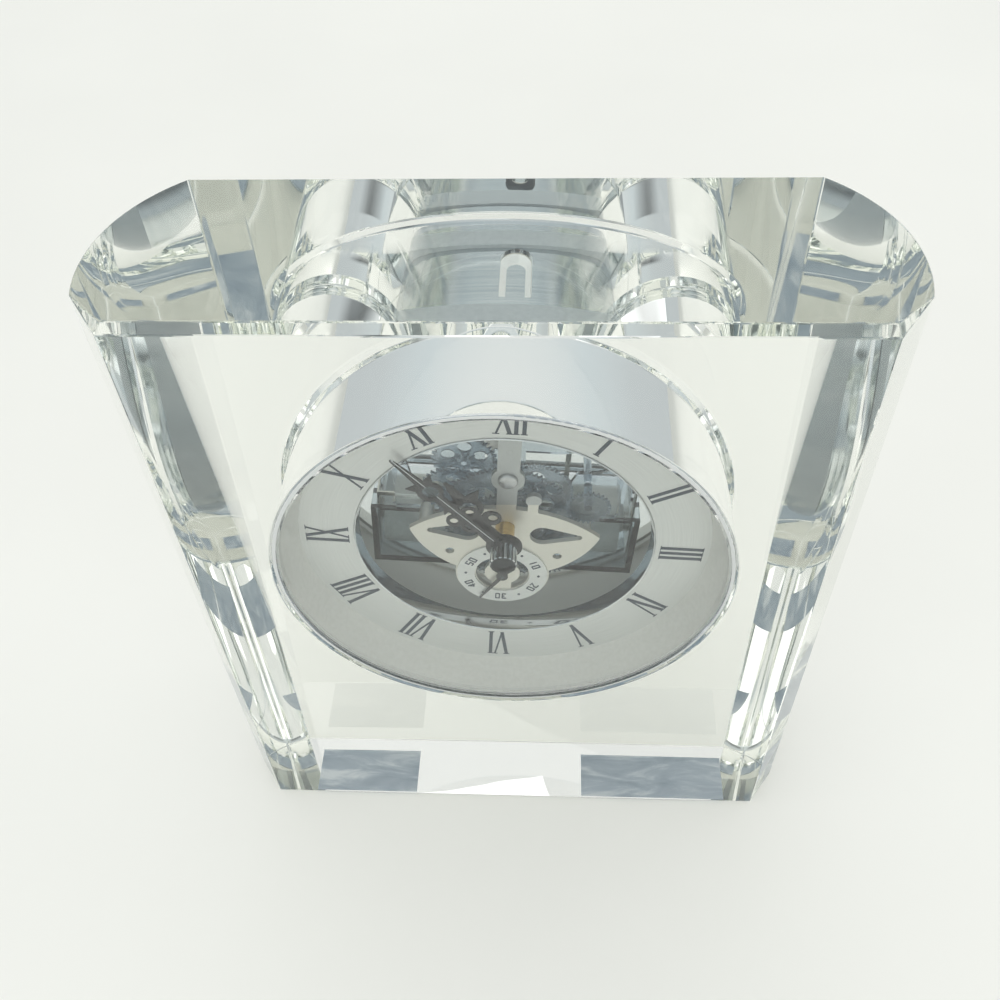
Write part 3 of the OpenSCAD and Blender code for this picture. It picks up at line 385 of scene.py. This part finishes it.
# %% [markdown]
# ## The motor coil
# Thousands of turns of enamelled copper wire sit side by side on the bobbin. From a hand's width
# away the eye reads one smooth roll with fine rings. One turn is modelled as a thin torus and
# repeated along the bobbin. The real wire is 0.03 mm thick and couldn't be seen as rings, so the
# turns are drawn 0.32 mm apart.

# %% Turns of wire
coil_low, coil_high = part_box("coil_winding")
coil_middle = (coil_low + coil_high) / 2
coil_along = Matrix.Rotation(insert_turn, 3, "Y") @ Vector((1, 0, 0))
coil_len, turn_step, turn_r, wire_r = 11.8 * mm, 0.32 * mm, 2.46 * mm, 0.2 * mm
begin()
bpy.ops.mesh.primitive_torus_add(location=coil_middle - coil_along * coil_len / 2,
                                 rotation=(0, math.pi / 2 + insert_turn, 0), major_segments=48,
                                 minor_segments=6, major_radius=turn_r, minor_radius=wire_r)
winding = bpy.context.object
winding.name = "coil_turns"
apply_modifier(winding, "ARRAY", count=int(coil_len / turn_step) + 1, use_relative_offset=False,
               use_constant_offset=True, constant_offset_displace=(0, 0, turn_step))
settle(winding, 60)
wear_on(winding, "insert", "coil_winding")

# %% [markdown]
# ## Colours and nodes
# Colours are written as they look on a screen, in hexadecimal, and turned into the linear values
# that the renderer wants. One function adds a node, sets its settings, fills its inputs with values
# or with other nodes, and joins its result to a socket of the shader.

# %% Helpers for materials
def colour(code):
    parts = [int(code[i:i + 2], 16) / 255 for i in (1, 3, 5)]
    linear = [c / 12.92 if c <= 0.04045 else ((c + 0.055) / 1.055) ** 2.4 for c in parts]
    return (*linear, 1.0)


def in_use(sockets, name):
    if isinstance(name, int):
        return sockets[name]
    return next(s for s in sockets if s.enabled and s.name == name)


def node(tree, kind, inputs=None, stops=None, feeds=None, **settings):
    made = tree.nodes.new(kind)
    for name, value in settings.items():
        setattr(made, name, value)
    for name, value in (inputs or {}).items():
        if isinstance(value, bpy.types.Node):
            value = next(s for s in value.outputs if s.enabled)
        if isinstance(value, bpy.types.NodeSocket):
            tree.links.new(value, in_use(made.inputs, name))
        else:
            in_use(made.inputs, name).default_value = value
    if stops:
        elements = made.color_ramp.elements
        while len(elements) < len(stops):
            elements.new(0.5)
        for element, (place, value) in zip(elements, stops):
            element.position = place
            element.color = colour(value) if isinstance(value, str) else (value, value, value, 1)
    if feeds is not None:
        tree.links.new(next(s for s in made.outputs if s.enabled), feeds)
    return made


def finish_of(title, **constants):
    material = bpy.data.materials.new(title)
    material.use_nodes = True
    tree = material.node_tree
    shader = tree.nodes["Principled BSDF"]
    for name, value in constants.items():
        socket = shader.inputs[name.replace("_", " ")]
        socket.default_value = colour(value) if isinstance(value, str) else value
    return material, tree, shader


# %% [markdown]
# Patterns need to know where they are on the piece. Most read plain places, with the dial's axis as
# their centre. Turned and brushed pieces read the angle, the distance from the axis and the depth,
# so that their grain runs in circles.

# %% Places for patterns
def plain_place(tree, scale=(1, 1, 1)):
    place = node(tree, "ShaderNodeTexCoord").outputs["Object"]
    centring = tuple(-a * s for a, s in zip(axis, scale))
    return node(tree, "ShaderNodeMapping", {"Vector": place, "Location": centring, "Scale": scale})


def round_place(tree, along=1.0, across=1.0, deep=1.0):
    xyz = node(tree, "ShaderNodeSeparateXYZ", {"Vector": plain_place(tree)})
    angle = node(tree, "ShaderNodeMath", {0: xyz.outputs["X"], 1: xyz.outputs["Z"]},
                 operation="ARCTAN2")
    flat = node(tree, "ShaderNodeCombineXYZ", {"X": xyz.outputs["X"], "Y": xyz.outputs["Z"]})
    radius = node(tree, "ShaderNodeVectorMath", {0: flat}, operation="LENGTH")
    return node(tree, "ShaderNodeCombineXYZ", {
        "X": node(tree, "ShaderNodeMath", {0: angle, 1: along}, operation="MULTIPLY"),
        "Y": node(tree, "ShaderNodeMath", {0: radius, 1: across}, operation="MULTIPLY"),
        "Z": node(tree, "ShaderNodeMath", {0: xyz.outputs["Y"], 1: deep}, operation="MULTIPLY")})


# %% [markdown]
# ## Crystal and lens glass
# Optical crystal has a refractive index a little above window glass, and a faint warm-green body
# that shows only over a long path. Felt polishing leaves the flats not quite flat: waves about two
# centimetres long and a hundredth of a millimetre high, which make the mirrored pictures inside
# swim a little. The lens is float glass, clear too, but its rim comes off the grinding wheel matt,
# so its roughness rises there.

# %% Crystal, polished
def let_lamps_through(material, tint):
    """For shadow rays the glass is plainly see-through, so what lies behind it is lit."""
    tree = material.node_tree
    out = tree.nodes["Material Output"]
    ray = node(tree, "ShaderNodeLightPath")
    clear = node(tree, "ShaderNodeBsdfTransparent", {"Color": colour(tint)})
    node(tree, "ShaderNodeMixShader",
         {0: ray.outputs["Is Shadow Ray"], 1: tree.nodes["Principled BSDF"], 2: clear},
         feeds=out.inputs["Surface"])


crystal_glass, tree, shader = finish_of("optical_crystal_felt_polished", Roughness=0.0, IOR=1.52,
                                        Transmission_Weight=1.0, Base_Color="#fdfefc")
waves = node(tree, "ShaderNodeTexNoise",
             {"Vector": plain_place(tree), "Scale": 45.0, "Detail": 1.0})
node(tree, "ShaderNodeBump", {"Height": waves, "Distance": 0.00002, "Strength": 0.5},
     feeds=shader.inputs["Normal"])
node(tree, "ShaderNodeVolumeAbsorption", {"Color": colour("#f3f7e6"), "Density": 2.0},
     feeds=tree.nodes["Material Output"].inputs["Volume"])
let_lamps_through(crystal_glass, "#f6f7f3")

lens_glass, tree, shader = finish_of("float_glass_edge_ground", Roughness=0.0, IOR=1.5,
                                     Transmission_Weight=1.0, Base_Color="#fcfefd")
draw = node(tree, "ShaderNodeTexNoise", {"Vector": plain_place(tree), "Scale": 60.0, "Detail": 1.0})
node(tree, "ShaderNodeBump", {"Height": draw, "Distance": 0.00001, "Strength": 0.3},
     feeds=shader.inputs["Normal"])
matt_from, matt_full = 41.7 * mm, 42.1 * mm
distance = node(tree, "ShaderNodeSeparateXYZ", {"Vector": round_place(tree)}).outputs["Y"]
node(tree, "ShaderNodeMapRange", {"Value": distance, "From Min": matt_from, "From Max": matt_full,
                                  "To Min": 0.0, "To Max": 0.6}, feeds=shader.inputs["Roughness"])
let_lamps_through(lens_glass, "#f6f8f7")
lens.data.materials.append(lens_glass)

# %% [markdown]
# ## Silicone
# Cast silicone is cloudy and faintly blue. Pressed on glass it clings in some places and holds a
# film of air in others, which the eye sees as paler clouds with soft borders.

# %% Pads and the patches they make
def cloudy(title, roughness):
    material, tree, shader = finish_of(title, IOR=1.41, Roughness=roughness)
    clouds = node(tree, "ShaderNodeTexNoise",
                  {"Vector": plain_place(tree, (60, 90, 90)), "Detail": 5.0, "Roughness": 0.6,
                   "Scale": 1.0, "Distortion": 0.6})
    node(tree, "ShaderNodeValToRGB", {"Fac": clouds},
         [(0.3, "#8796a8"), (0.5, "#a9b6c3"), (0.66, "#dbe1e7")], shader.inputs["Base Color"])
    return material, tree, shader, clouds


pad_silicone, tree, shader, clouds = cloudy("silicone_cast_cloudy", 0.45)
node(tree, "ShaderNodeBump", {"Height": clouds, "Distance": 0.00005, "Strength": 0.5},
     feeds=shader.inputs["Normal"])
bonded = cloudy("silicone_clinging_to_glass", 0.6)[0]
foot_pads.data.materials.append(pad_silicone)
crystal.material_slots[0].material = crystal_glass
crystal.material_slots[1].material = bonded

# %% [markdown]
# ## Metals
# The case drum is thin aluminium, drawn, polished and clear anodised: bright outside, with faint
# rings from the drawing tool that smear the reflections along the drum, and painted cream inside,
# a guess from the light colour in the window. The bezel, the window ring and the hand nut are
# plated bright. The dial ring is aluminium brushed in circles. A metal keeps the default refractive
# index; its colour is its reflection.

# %% Case drum
case_metal, tree, shader = finish_of("aluminium_drawn_bright_anodised")
painted_to = 41.5 * mm
place = round_place(tree, 1.5, 1500, 2500)
rings = node(tree, "ShaderNodeTexNoise", {"Vector": place, "Scale": 1.0, "Detail": 2.0})
metal_tone = node(tree, "ShaderNodeValToRGB", {"Fac": rings}, [(0.3, "#c3cacd"), (0.7, "#d7dcde")])
distance = node(tree, "ShaderNodeSeparateXYZ", {"Vector": round_place(tree)}).outputs["Y"]
inside = node(tree, "ShaderNodeMath", {0: distance, 1: painted_to}, operation="LESS_THAN")
node(tree, "ShaderNodeMix", {"Factor": inside, "A": metal_tone, "B": colour("#e3e2d8")},
     feeds=shader.inputs["Base Color"], data_type="RGBA")
node(tree, "ShaderNodeMath", {0: 1.0, 1: inside}, operation="SUBTRACT",
     feeds=shader.inputs["Metallic"])
node(tree, "ShaderNodeMix", {"Factor": inside, "A": 0.14, "B": 0.6},
     feeds=shader.inputs["Roughness"], data_type="FLOAT")
node(tree, "ShaderNodeBump", {"Height": rings, "Distance": 0.00001, "Strength": 0.15},
     feeds=shader.inputs["Normal"])

# %% Plated rings and dial
chrome, tree, shader = finish_of("brass_polished_chrome_plated", Metallic=1.0, Base_Color="#dcdfe1")
wear = node(tree, "ShaderNodeTexNoise", {"Vector": round_place(tree, 6, 900, 900), "Scale": 1.0})
node(tree, "ShaderNodeValToRGB", {"Fac": wear}, [(0.3, 0.04), (0.8, 0.12)],
     shader.inputs["Roughness"])

dial_metal, tree, shader = finish_of("aluminium_brushed_in_circles_lacquered", Metallic=0.65)
rings = node(tree, "ShaderNodeTexNoise", {"Vector": round_place(tree, 3, 5000, 100), "Scale": 1.0,
                                          "Detail": 3.0})
node(tree, "ShaderNodeValToRGB", {"Fac": rings}, [(0.25, "#dcddda"), (0.75, "#e9eae7")],
     shader.inputs["Base Color"])
node(tree, "ShaderNodeValToRGB", {"Fac": rings}, [(0.2, 0.4), (0.8, 0.52)],
     shader.inputs["Roughness"])
node(tree, "ShaderNodeBump", {"Height": rings, "Distance": 0.00001, "Strength": 0.4},
     feeds=shader.inputs["Normal"])

# %% [markdown]
# The grooves and the end of the nut are coloured dark as painted shade, where little light would
# fall, which is what makes the knurling stand out as black and white lines.

# %% Nut, bright on its ridges, with painted shade in its grooves
nut_metal, tree, shader = finish_of("brass_knurled_chrome_plated_painted_groove_shade", Metallic=1.0, Roughness=0.12)
distance = node(tree, "ShaderNodeSeparateXYZ", {"Vector": round_place(tree)}).outputs["Y"]
groove_r, ridge_r = 2.3 * mm, 2.52 * mm
# painted shade: the base colour darkens from the ridges down into the grooves and over the end face
ridge = node(tree, "ShaderNodeMapRange",
             {"Value": distance, "From Min": groove_r, "From Max": ridge_r})
node(tree, "ShaderNodeValToRGB", {"Fac": ridge}, [(0.0, "#34383b"), (1.0, "#e4e6e7")],
     shader.inputs["Base Color"])
scuffs = node(tree, "ShaderNodeTexNoise",
              {"Vector": plain_place(tree), "Scale": 3000.0, "Detail": 2.0})
node(tree, "ShaderNodeBump", {"Height": scuffs, "Distance": 0.00001, "Strength": 0.3},
     feeds=shader.inputs["Normal"])

# %% [markdown]
# The plate is one piece of nickel silver, fine blasted. In the photograph its bar, from 6.8 mm
# above the centre, looks greyer than its leaf, so the two get tones of their own. Screws and posts
# show the rings that the turning tool left, and sheet metal the grain of its rolling.

# %% Plates, screws and brass
bar_from = 6.8 * mm
plate_metal, tree, shader = finish_of("nickel_silver_fine_blasted", Metallic=0.7, Roughness=0.42)
speck = node(tree, "ShaderNodeTexNoise",
             {"Vector": plain_place(tree), "Scale": 4000.0, "Detail": 2.0})
leaf_tone = node(tree, "ShaderNodeValToRGB", {"Fac": speck}, [(0.3, "#dcd9ce"), (0.7, "#e8e5dc")])
bar_tone = node(tree, "ShaderNodeValToRGB", {"Fac": speck}, [(0.3, "#b4b7b6"), (0.7, "#c2c5c4")])
up = node(tree, "ShaderNodeSeparateXYZ", {"Vector": plain_place(tree)}).outputs["Z"]
on_bar = node(tree, "ShaderNodeMath", {0: up, 1: bar_from}, operation="GREATER_THAN")
node(tree, "ShaderNodeMix", {"Factor": on_bar, "A": leaf_tone, "B": bar_tone},
     feeds=shader.inputs["Base Color"], data_type="RGBA")
node(tree, "ShaderNodeBump", {"Height": speck, "Distance": 0.00001, "Strength": 0.5},
     feeds=shader.inputs["Normal"])

screw_steel, tree, shader = finish_of("steel_turned_nickel_plated", Metallic=1.0,
                                      Base_Color="#b9bbbc")
turned = node(tree, "ShaderNodeTexNoise",
              {"Vector": round_place(tree, 2, 8000, 4000), "Scale": 1.0})
node(tree, "ShaderNodeValToRGB", {"Fac": turned}, [(0.2, 0.15), (0.8, 0.28)],
     shader.inputs["Roughness"])

brass, tree, shader = finish_of("brass_turned_bare", Metallic=1.0, Roughness=0.22)
tool = node(tree, "ShaderNodeTexNoise", {"Vector": round_place(tree, 2, 5000, 6000), "Scale": 1.0})
node(tree, "ShaderNodeValToRGB", {"Fac": tool}, [(0.2, "#b08d4e"), (0.8, "#d9bd7a")],
     shader.inputs["Base Color"])
node(tree, "ShaderNodeBump", {"Height": tool, "Distance": 0.00001, "Strength": 0.4},
     feeds=shader.inputs["Normal"])

spring_brass, tree, shader = finish_of("phosphor_bronze_nickel_flashed", Metallic=1.0,
                                       Roughness=0.22)
rolled = node(tree, "ShaderNodeTexNoise",
              {"Vector": plain_place(tree, (300, 3000, 3000)), "Scale": 1.0})
node(tree, "ShaderNodeValToRGB", {"Fac": rolled}, [(0.3, "#cfccbd"), (0.7, "#e4e2d8")],
     shader.inputs["Base Color"])

core_steel, tree, shader = finish_of("silicon_steel_stamped", Metallic=1.0, Roughness=0.38)
stamped = node(tree, "ShaderNodeTexNoise",
               {"Vector": plain_place(tree), "Scale": 900.0, "Detail": 3.0})
node(tree, "ShaderNodeValToRGB", {"Fac": stamped}, [(0.3, "#84878b"), (0.7, "#a2a5a8")],
     shader.inputs["Base Color"])

can_metal, tree, shader = finish_of("tinned_steel_drawn", Metallic=1.0, Roughness=0.2)
drawn = node(tree, "ShaderNodeTexNoise",
             {"Vector": round_place(tree, 20, 1500, 1500), "Scale": 1.0})
node(tree, "ShaderNodeValToRGB", {"Fac": drawn}, [(0.3, "#c4c6ca"), (0.7, "#dadcde")],
     shader.inputs["Base Color"])

copper, tree, shader = finish_of("copper_wire_enamelled", Metallic=1.0, Roughness=0.3)
age = node(tree, "ShaderNodeTexNoise",
           {"Vector": plain_place(tree, (3000, 300, 300)), "Scale": 1.0})
node(tree, "ShaderNodeValToRGB", {"Fac": age}, [(0.3, "#a65a35"), (0.8, "#cf8053")],
     shader.inputs["Base Color"])

# %% [markdown]
# ## Plastics
# The wheels and the rear plate are moulded of clear plastics with a smoke-blue tint. Light passes
# through them, loses a little, and scatters slightly at the moulded surface. The liner is opaque
# white. The knob, the bobbin and the board keep the small grain of their moulds, a little under a
# millimetre across, and inks and lacquer a finer one.

# %% Tinted and clear mouldings
def moulded_clear(title, tint, roughness, index=1.58):
    material, tree, shader = finish_of(title, IOR=index, Transmission_Weight=1.0,
                                       Roughness=roughness)
    flow = node(tree, "ShaderNodeTexNoise",
                {"Vector": plain_place(tree), "Scale": 1500.0, "Detail": 2.0})
    darker = "#" + "".join("%02x" % int(int(tint[i:i + 2], 16) * 0.96) for i in (1, 3, 5))
    node(tree, "ShaderNodeValToRGB", {"Fac": flow}, [(0.3, darker), (0.7, tint)],
         shader.inputs["Base Color"])
    node(tree, "ShaderNodeBump", {"Height": flow, "Distance": 0.00001, "Strength": 0.4},
         feeds=shader.inputs["Normal"])
    let_lamps_through(material, "#e8edf0")
    return material


smoked = moulded_clear("polycarbonate_smoked_moulded", "#d9e2e8", 0.04)
wheel_plastic = moulded_clear("acetal_blue_smoke_moulded", "#b9c5cf", 0.2)
clear_plastic = moulded_clear("styrene_clear_moulded", "#eef3f4", 0.04, index=1.59)


# %% Opaque mouldings, inks and lacquer
def moulded(title, pale, dark, roughness, scale=1200.0):
    material, tree, shader = finish_of(title, IOR=1.5, Roughness=roughness)
    skin = node(tree, "ShaderNodeTexNoise",
                {"Vector": plain_place(tree), "Scale": scale, "Detail": 3.0})
    node(tree, "ShaderNodeValToRGB", {"Fac": skin}, [(0.3, dark), (0.7, pale)],
         shader.inputs["Base Color"])
    node(tree, "ShaderNodeBump", {"Height": skin, "Distance": 0.00002, "Strength": 0.5},
         feeds=shader.inputs["Normal"])
    return material


white_plastic = moulded("abs_white_moulded", "#f0efe9", "#e8e7e0", 0.25)
band_rubber = moulded("elastomer_grey_moulded", "#a9b1b5", "#9da5aa", 0.4)
rotor_plastic = moulded("acetal_natural_moulded", "#eeeee8", "#e2e2da", 0.35)
bobbin_plastic = moulded("polyester_black_moulded", "#33373d", "#2a2d32", 0.45)
knob_plastic = moulded("abs_dark_grey_moulded", "#6b737a", "#5f676d", 0.4)
chip_epoxy = moulded("epoxy_black_moulded", "#1d1d1f", "#161618", 0.5)
magnet_ferrite = moulded("ferrite_sintered", "#4c4c50", "#3f3f43", 0.5, 3000.0)
board_laminate = moulded("glass_epoxy_laminate_green", "#1f6a3f", "#1a5a36", 0.35, 2500.0)
battery_sleeve = moulded("vinyl_sleeve_shrunk_cream", "#dcdbcf", "#d0cfc3", 0.3)
print_ink = moulded("screen_ink_blue_black", "#414b57", "#39434e", 0.5, 4000.0)
hand_lacquer = moulded("lacquer_satin_black_on_brass", "#26272a", "#1e1f22", 0.25, 3000.0)

# %% [markdown]
# Along the minute hand runs a thin pale line, a painted highlight where a raised rib on the hand
# would catch the light. The line belongs to the hand, so it is drawn from places measured across
# and along the hand as it stands at rest.

# %% Painted highlight line along the minute hand
lacquer_with_painted_highlight, tree, shader = finish_of("lacquer_satin_black_painted_highlight_line", IOR=1.5, Roughness=0.25)
hand_turn = math.radians(318.0) + insert_turn
line_across, line_half, line_from = 0.2 * mm, 0.09 * mm, 3.2 * mm
place = plain_place(tree)
sideways = (math.cos(hand_turn), 0, -math.sin(hand_turn))
outwards = (math.sin(hand_turn), 0, math.cos(hand_turn))
across = node(tree, "ShaderNodeVectorMath", {0: place, 1: sideways}, operation="DOT_PRODUCT")
along = node(tree, "ShaderNodeVectorMath", {0: place, 1: outwards}, operation="DOT_PRODUCT")
near_line = node(tree, "ShaderNodeMath", {0: across, 1: line_across, 2: line_half},
                 operation="COMPARE")
past_hub = node(tree, "ShaderNodeMath", {0: along, 1: line_from}, operation="GREATER_THAN")
line = node(tree, "ShaderNodeMath", {0: near_line, 1: past_hub}, operation="MULTIPLY")
skin = node(tree, "ShaderNodeTexNoise", {"Vector": place, "Scale": 3000.0, "Detail": 3.0})
black = node(tree, "ShaderNodeValToRGB", {"Fac": skin}, [(0.3, "#1e1f22"), (0.7, "#26272a")])
# painted highlight: the base colour turns pale grey in a thin stripe along the hand
node(tree, "ShaderNodeMix", {"Factor": line, "A": black, "B": colour("#c6cacb")},
     feeds=shader.inputs["Base Color"], data_type="RGBA")

# %% [markdown]
# ## Who wears what
# The CAD record names a material slot for each node. Each slot gets one of the finishes above, and
# the remade pieces get theirs by the same slot.

# %% Assign the finishes
finishes = {
    "crystal": crystal_glass, "pad": pad_silicone, "case_metal": case_metal, "chrome": chrome,
    "lens": lens_glass, "band": band_rubber, "white_plastic": white_plastic, "dial": dial_metal,
    "ink": print_ink, "plate": plate_metal, "screw": screw_steel, "smoked": smoked,
    "wheel_plastic": wheel_plastic, "brass": brass, "hand_paint": hand_lacquer,
    "rotor_plastic": rotor_plastic, "magnet": magnet_ferrite, "core": core_steel,
    "bobbin": bobbin_plastic, "copper": copper, "board": board_laminate, "can": can_metal,
    "chip": chip_epoxy, "battery_wrap": battery_sleeve, "spring_brass": spring_brass,
    "knob": knob_plastic, "clear_plastic": clear_plastic}
slots = {s["node"]: s["material_slot"] for s in frame["record"]["subparts"]}
for name, piece in nodes.items():
    if not piece.data.materials:
        piece.data.materials.append(finishes[slots[name]])
    for slot in piece.material_slots:
        slot.material = finishes[slots[name]]
for piece, finish in [(nut, nut_metal), (knob, knob_plastic), (button, screw_steel),
                      (winding, copper)]:
    piece.data.materials.append(finish)
nodes["minute_hand"].material_slots[0].material = lacquer_with_painted_highlight
print("finishes given to", len(nodes), "nodes")

# %% [markdown]
# ## Floor, light and camera
# The clock stands on a pale matt sweep. Clear crystal shows only its surroundings, so these are
# pale and soft: an even sky, a wide soft box above and one at the right. To both sides, above the
# horizon, the sky turns grey, as it does when a photographer hangs grey flags beside the table:
# they are what draws the dark lines along the edges of clear glass and gives polished metal its
# contrast. Two more soft boxes, before the dial and behind the open rear of the case, light the
# dial and the inside of the drum. They are hidden from mirror and glass, so they don't show there.

# %% Floor
begin()
bpy.ops.mesh.primitive_plane_add(size=6, location=(0, 0, 0))
floor = bpy.context.object
floor.name = "floor_pale_paper"
paper, tree, shader = finish_of("paper_matt_pale", Roughness=0.9, IOR=1.5)
fibre = node(tree, "ShaderNodeTexNoise", {"Vector": plain_place(tree), "Scale": 8.0, "Detail": 3.0})
node(tree, "ShaderNodeValToRGB", {"Fac": fibre}, [(0.3, "#ecebe5"), (0.7, "#efeee8")],
     shader.inputs["Base Color"])
floor.data.materials.append(paper)

# %% Sky and soft boxes
world = bpy.data.worlds.new("studio_sky")
bpy.context.scene.world = world
world.use_nodes = True
tree = world.node_tree
sky = tree.nodes["Background"]
direction = node(tree, "ShaderNodeTexCoord").outputs["Generated"]
way = node(tree, "ShaderNodeSeparateXYZ", {"Vector": direction})
overhead = node(tree, "ShaderNodeValToRGB", {"Fac": way.outputs["Z"]},
                [(0.0, "#c6cdd0"), (0.25, "#c9d0d3"), (0.5, "#d3dde1"), (0.8, "#f2f4f3")])
aside = node(tree, "ShaderNodeMath", {0: way.outputs["X"]}, operation="ABSOLUTE")
flags = node(tree, "ShaderNodeValToRGB", {"Fac": aside},
             [(0.72, 1.0), (0.82, 0.2), (0.9, 0.4), (0.97, 0.9)])
raised = node(tree, "ShaderNodeMapRange",
              {"Value": way.outputs["Z"], "From Min": 0.12, "From Max": 0.3})
node(tree, "ShaderNodeMix", {"Factor": raised, "A": overhead, "B": flags},
     feeds=sky.inputs["Color"], data_type="RGBA", blend_type="MULTIPLY")
sky.inputs["Strength"].default_value = 0.9


def soft_box(name, place, aim, width, height, watts, seen=True):
    begin()
    bpy.ops.object.light_add(type="AREA", location=place)
    lamp = bpy.context.object
    lamp.name = name
    lamp.data.shape = "RECTANGLE"
    lamp.data.size, lamp.data.size_y = width, height
    lamp.data.energy = watts
    lamp.rotation_euler = (Vector(aim) - Vector(place)).to_track_quat("-Z", "Y").to_euler()
    lamp.visible_glossy = lamp.visible_transmission = seen
    return lamp


soft_box("soft_box_above", (-0.3, -0.1, 1.2), (0, 0, 0.08), 1.3, 1.1, 2.8)
soft_box("soft_box_right", (1.0, 0.25, 0.7), (0, 0, 0.08), 0.7, 0.9, 1.5)
soft_box("soft_box_front", (0.1, -0.9, 0.55), (0, 0, 0.09), 0.8, 0.5, 3.6, seen=False)
soft_box("soft_box_rear", (-0.1, 0.85, 0.75), (0, 0, 0.06), 1.0, 0.7, 2.0, seen=False)

# %% [markdown]
# The photograph was taken from above and close by, so the block narrows strongly towards its foot.
# The camera's place, its turn and its lens come from fitting the outline of the block.

# %% Camera
pitch, yaw, roll = math.radians(48.81), math.radians(-4.39), math.radians(-2.66)
ahead = Vector((math.sin(yaw) * math.cos(pitch), math.cos(yaw) * math.cos(pitch), -math.sin(pitch)))
right0 = Vector((math.cos(yaw), -math.sin(yaw), 0))
up0 = right0.cross(ahead)
right = math.cos(roll) * right0 + math.sin(roll) * up0
upward = -math.sin(roll) * right0 + math.cos(roll) * up0
begin()
bpy.ops.object.camera_add(location=(0, 0, 0))
camera = bpy.context.object
camera.matrix_world = (Matrix.Translation((0.0093, -0.1372, 0.2477))
                       @ Matrix((right, upward, -ahead)).transposed().to_4x4())
sensor, focal_pixels, photo_pixels = 36.0, 1058.25, 1000
camera.data.sensor_width = sensor
camera.data.lens = focal_pixels / photo_pixels * sensor
camera.data.clip_start = 0.01
bpy.context.scene.camera = camera
bpy.context.scene.view_settings.view_transform = "Standard"
print("camera at", [round(v, 3) for v in camera.matrix_world.translation])

# %% [markdown]
# A ray of light is thrown from wall to wall many times inside the block before it leaves. The
# renderer gives up after twelve turns and would leave those places black, so it may take more.

# %% Bounces
bounces = 40
cycles = bpy.context.scene.cycles
for kind in ("max_bounces", "transmission_bounces", "glossy_bounces", "transparent_max_bounces"):
    setattr(cycles, kind, bounces)
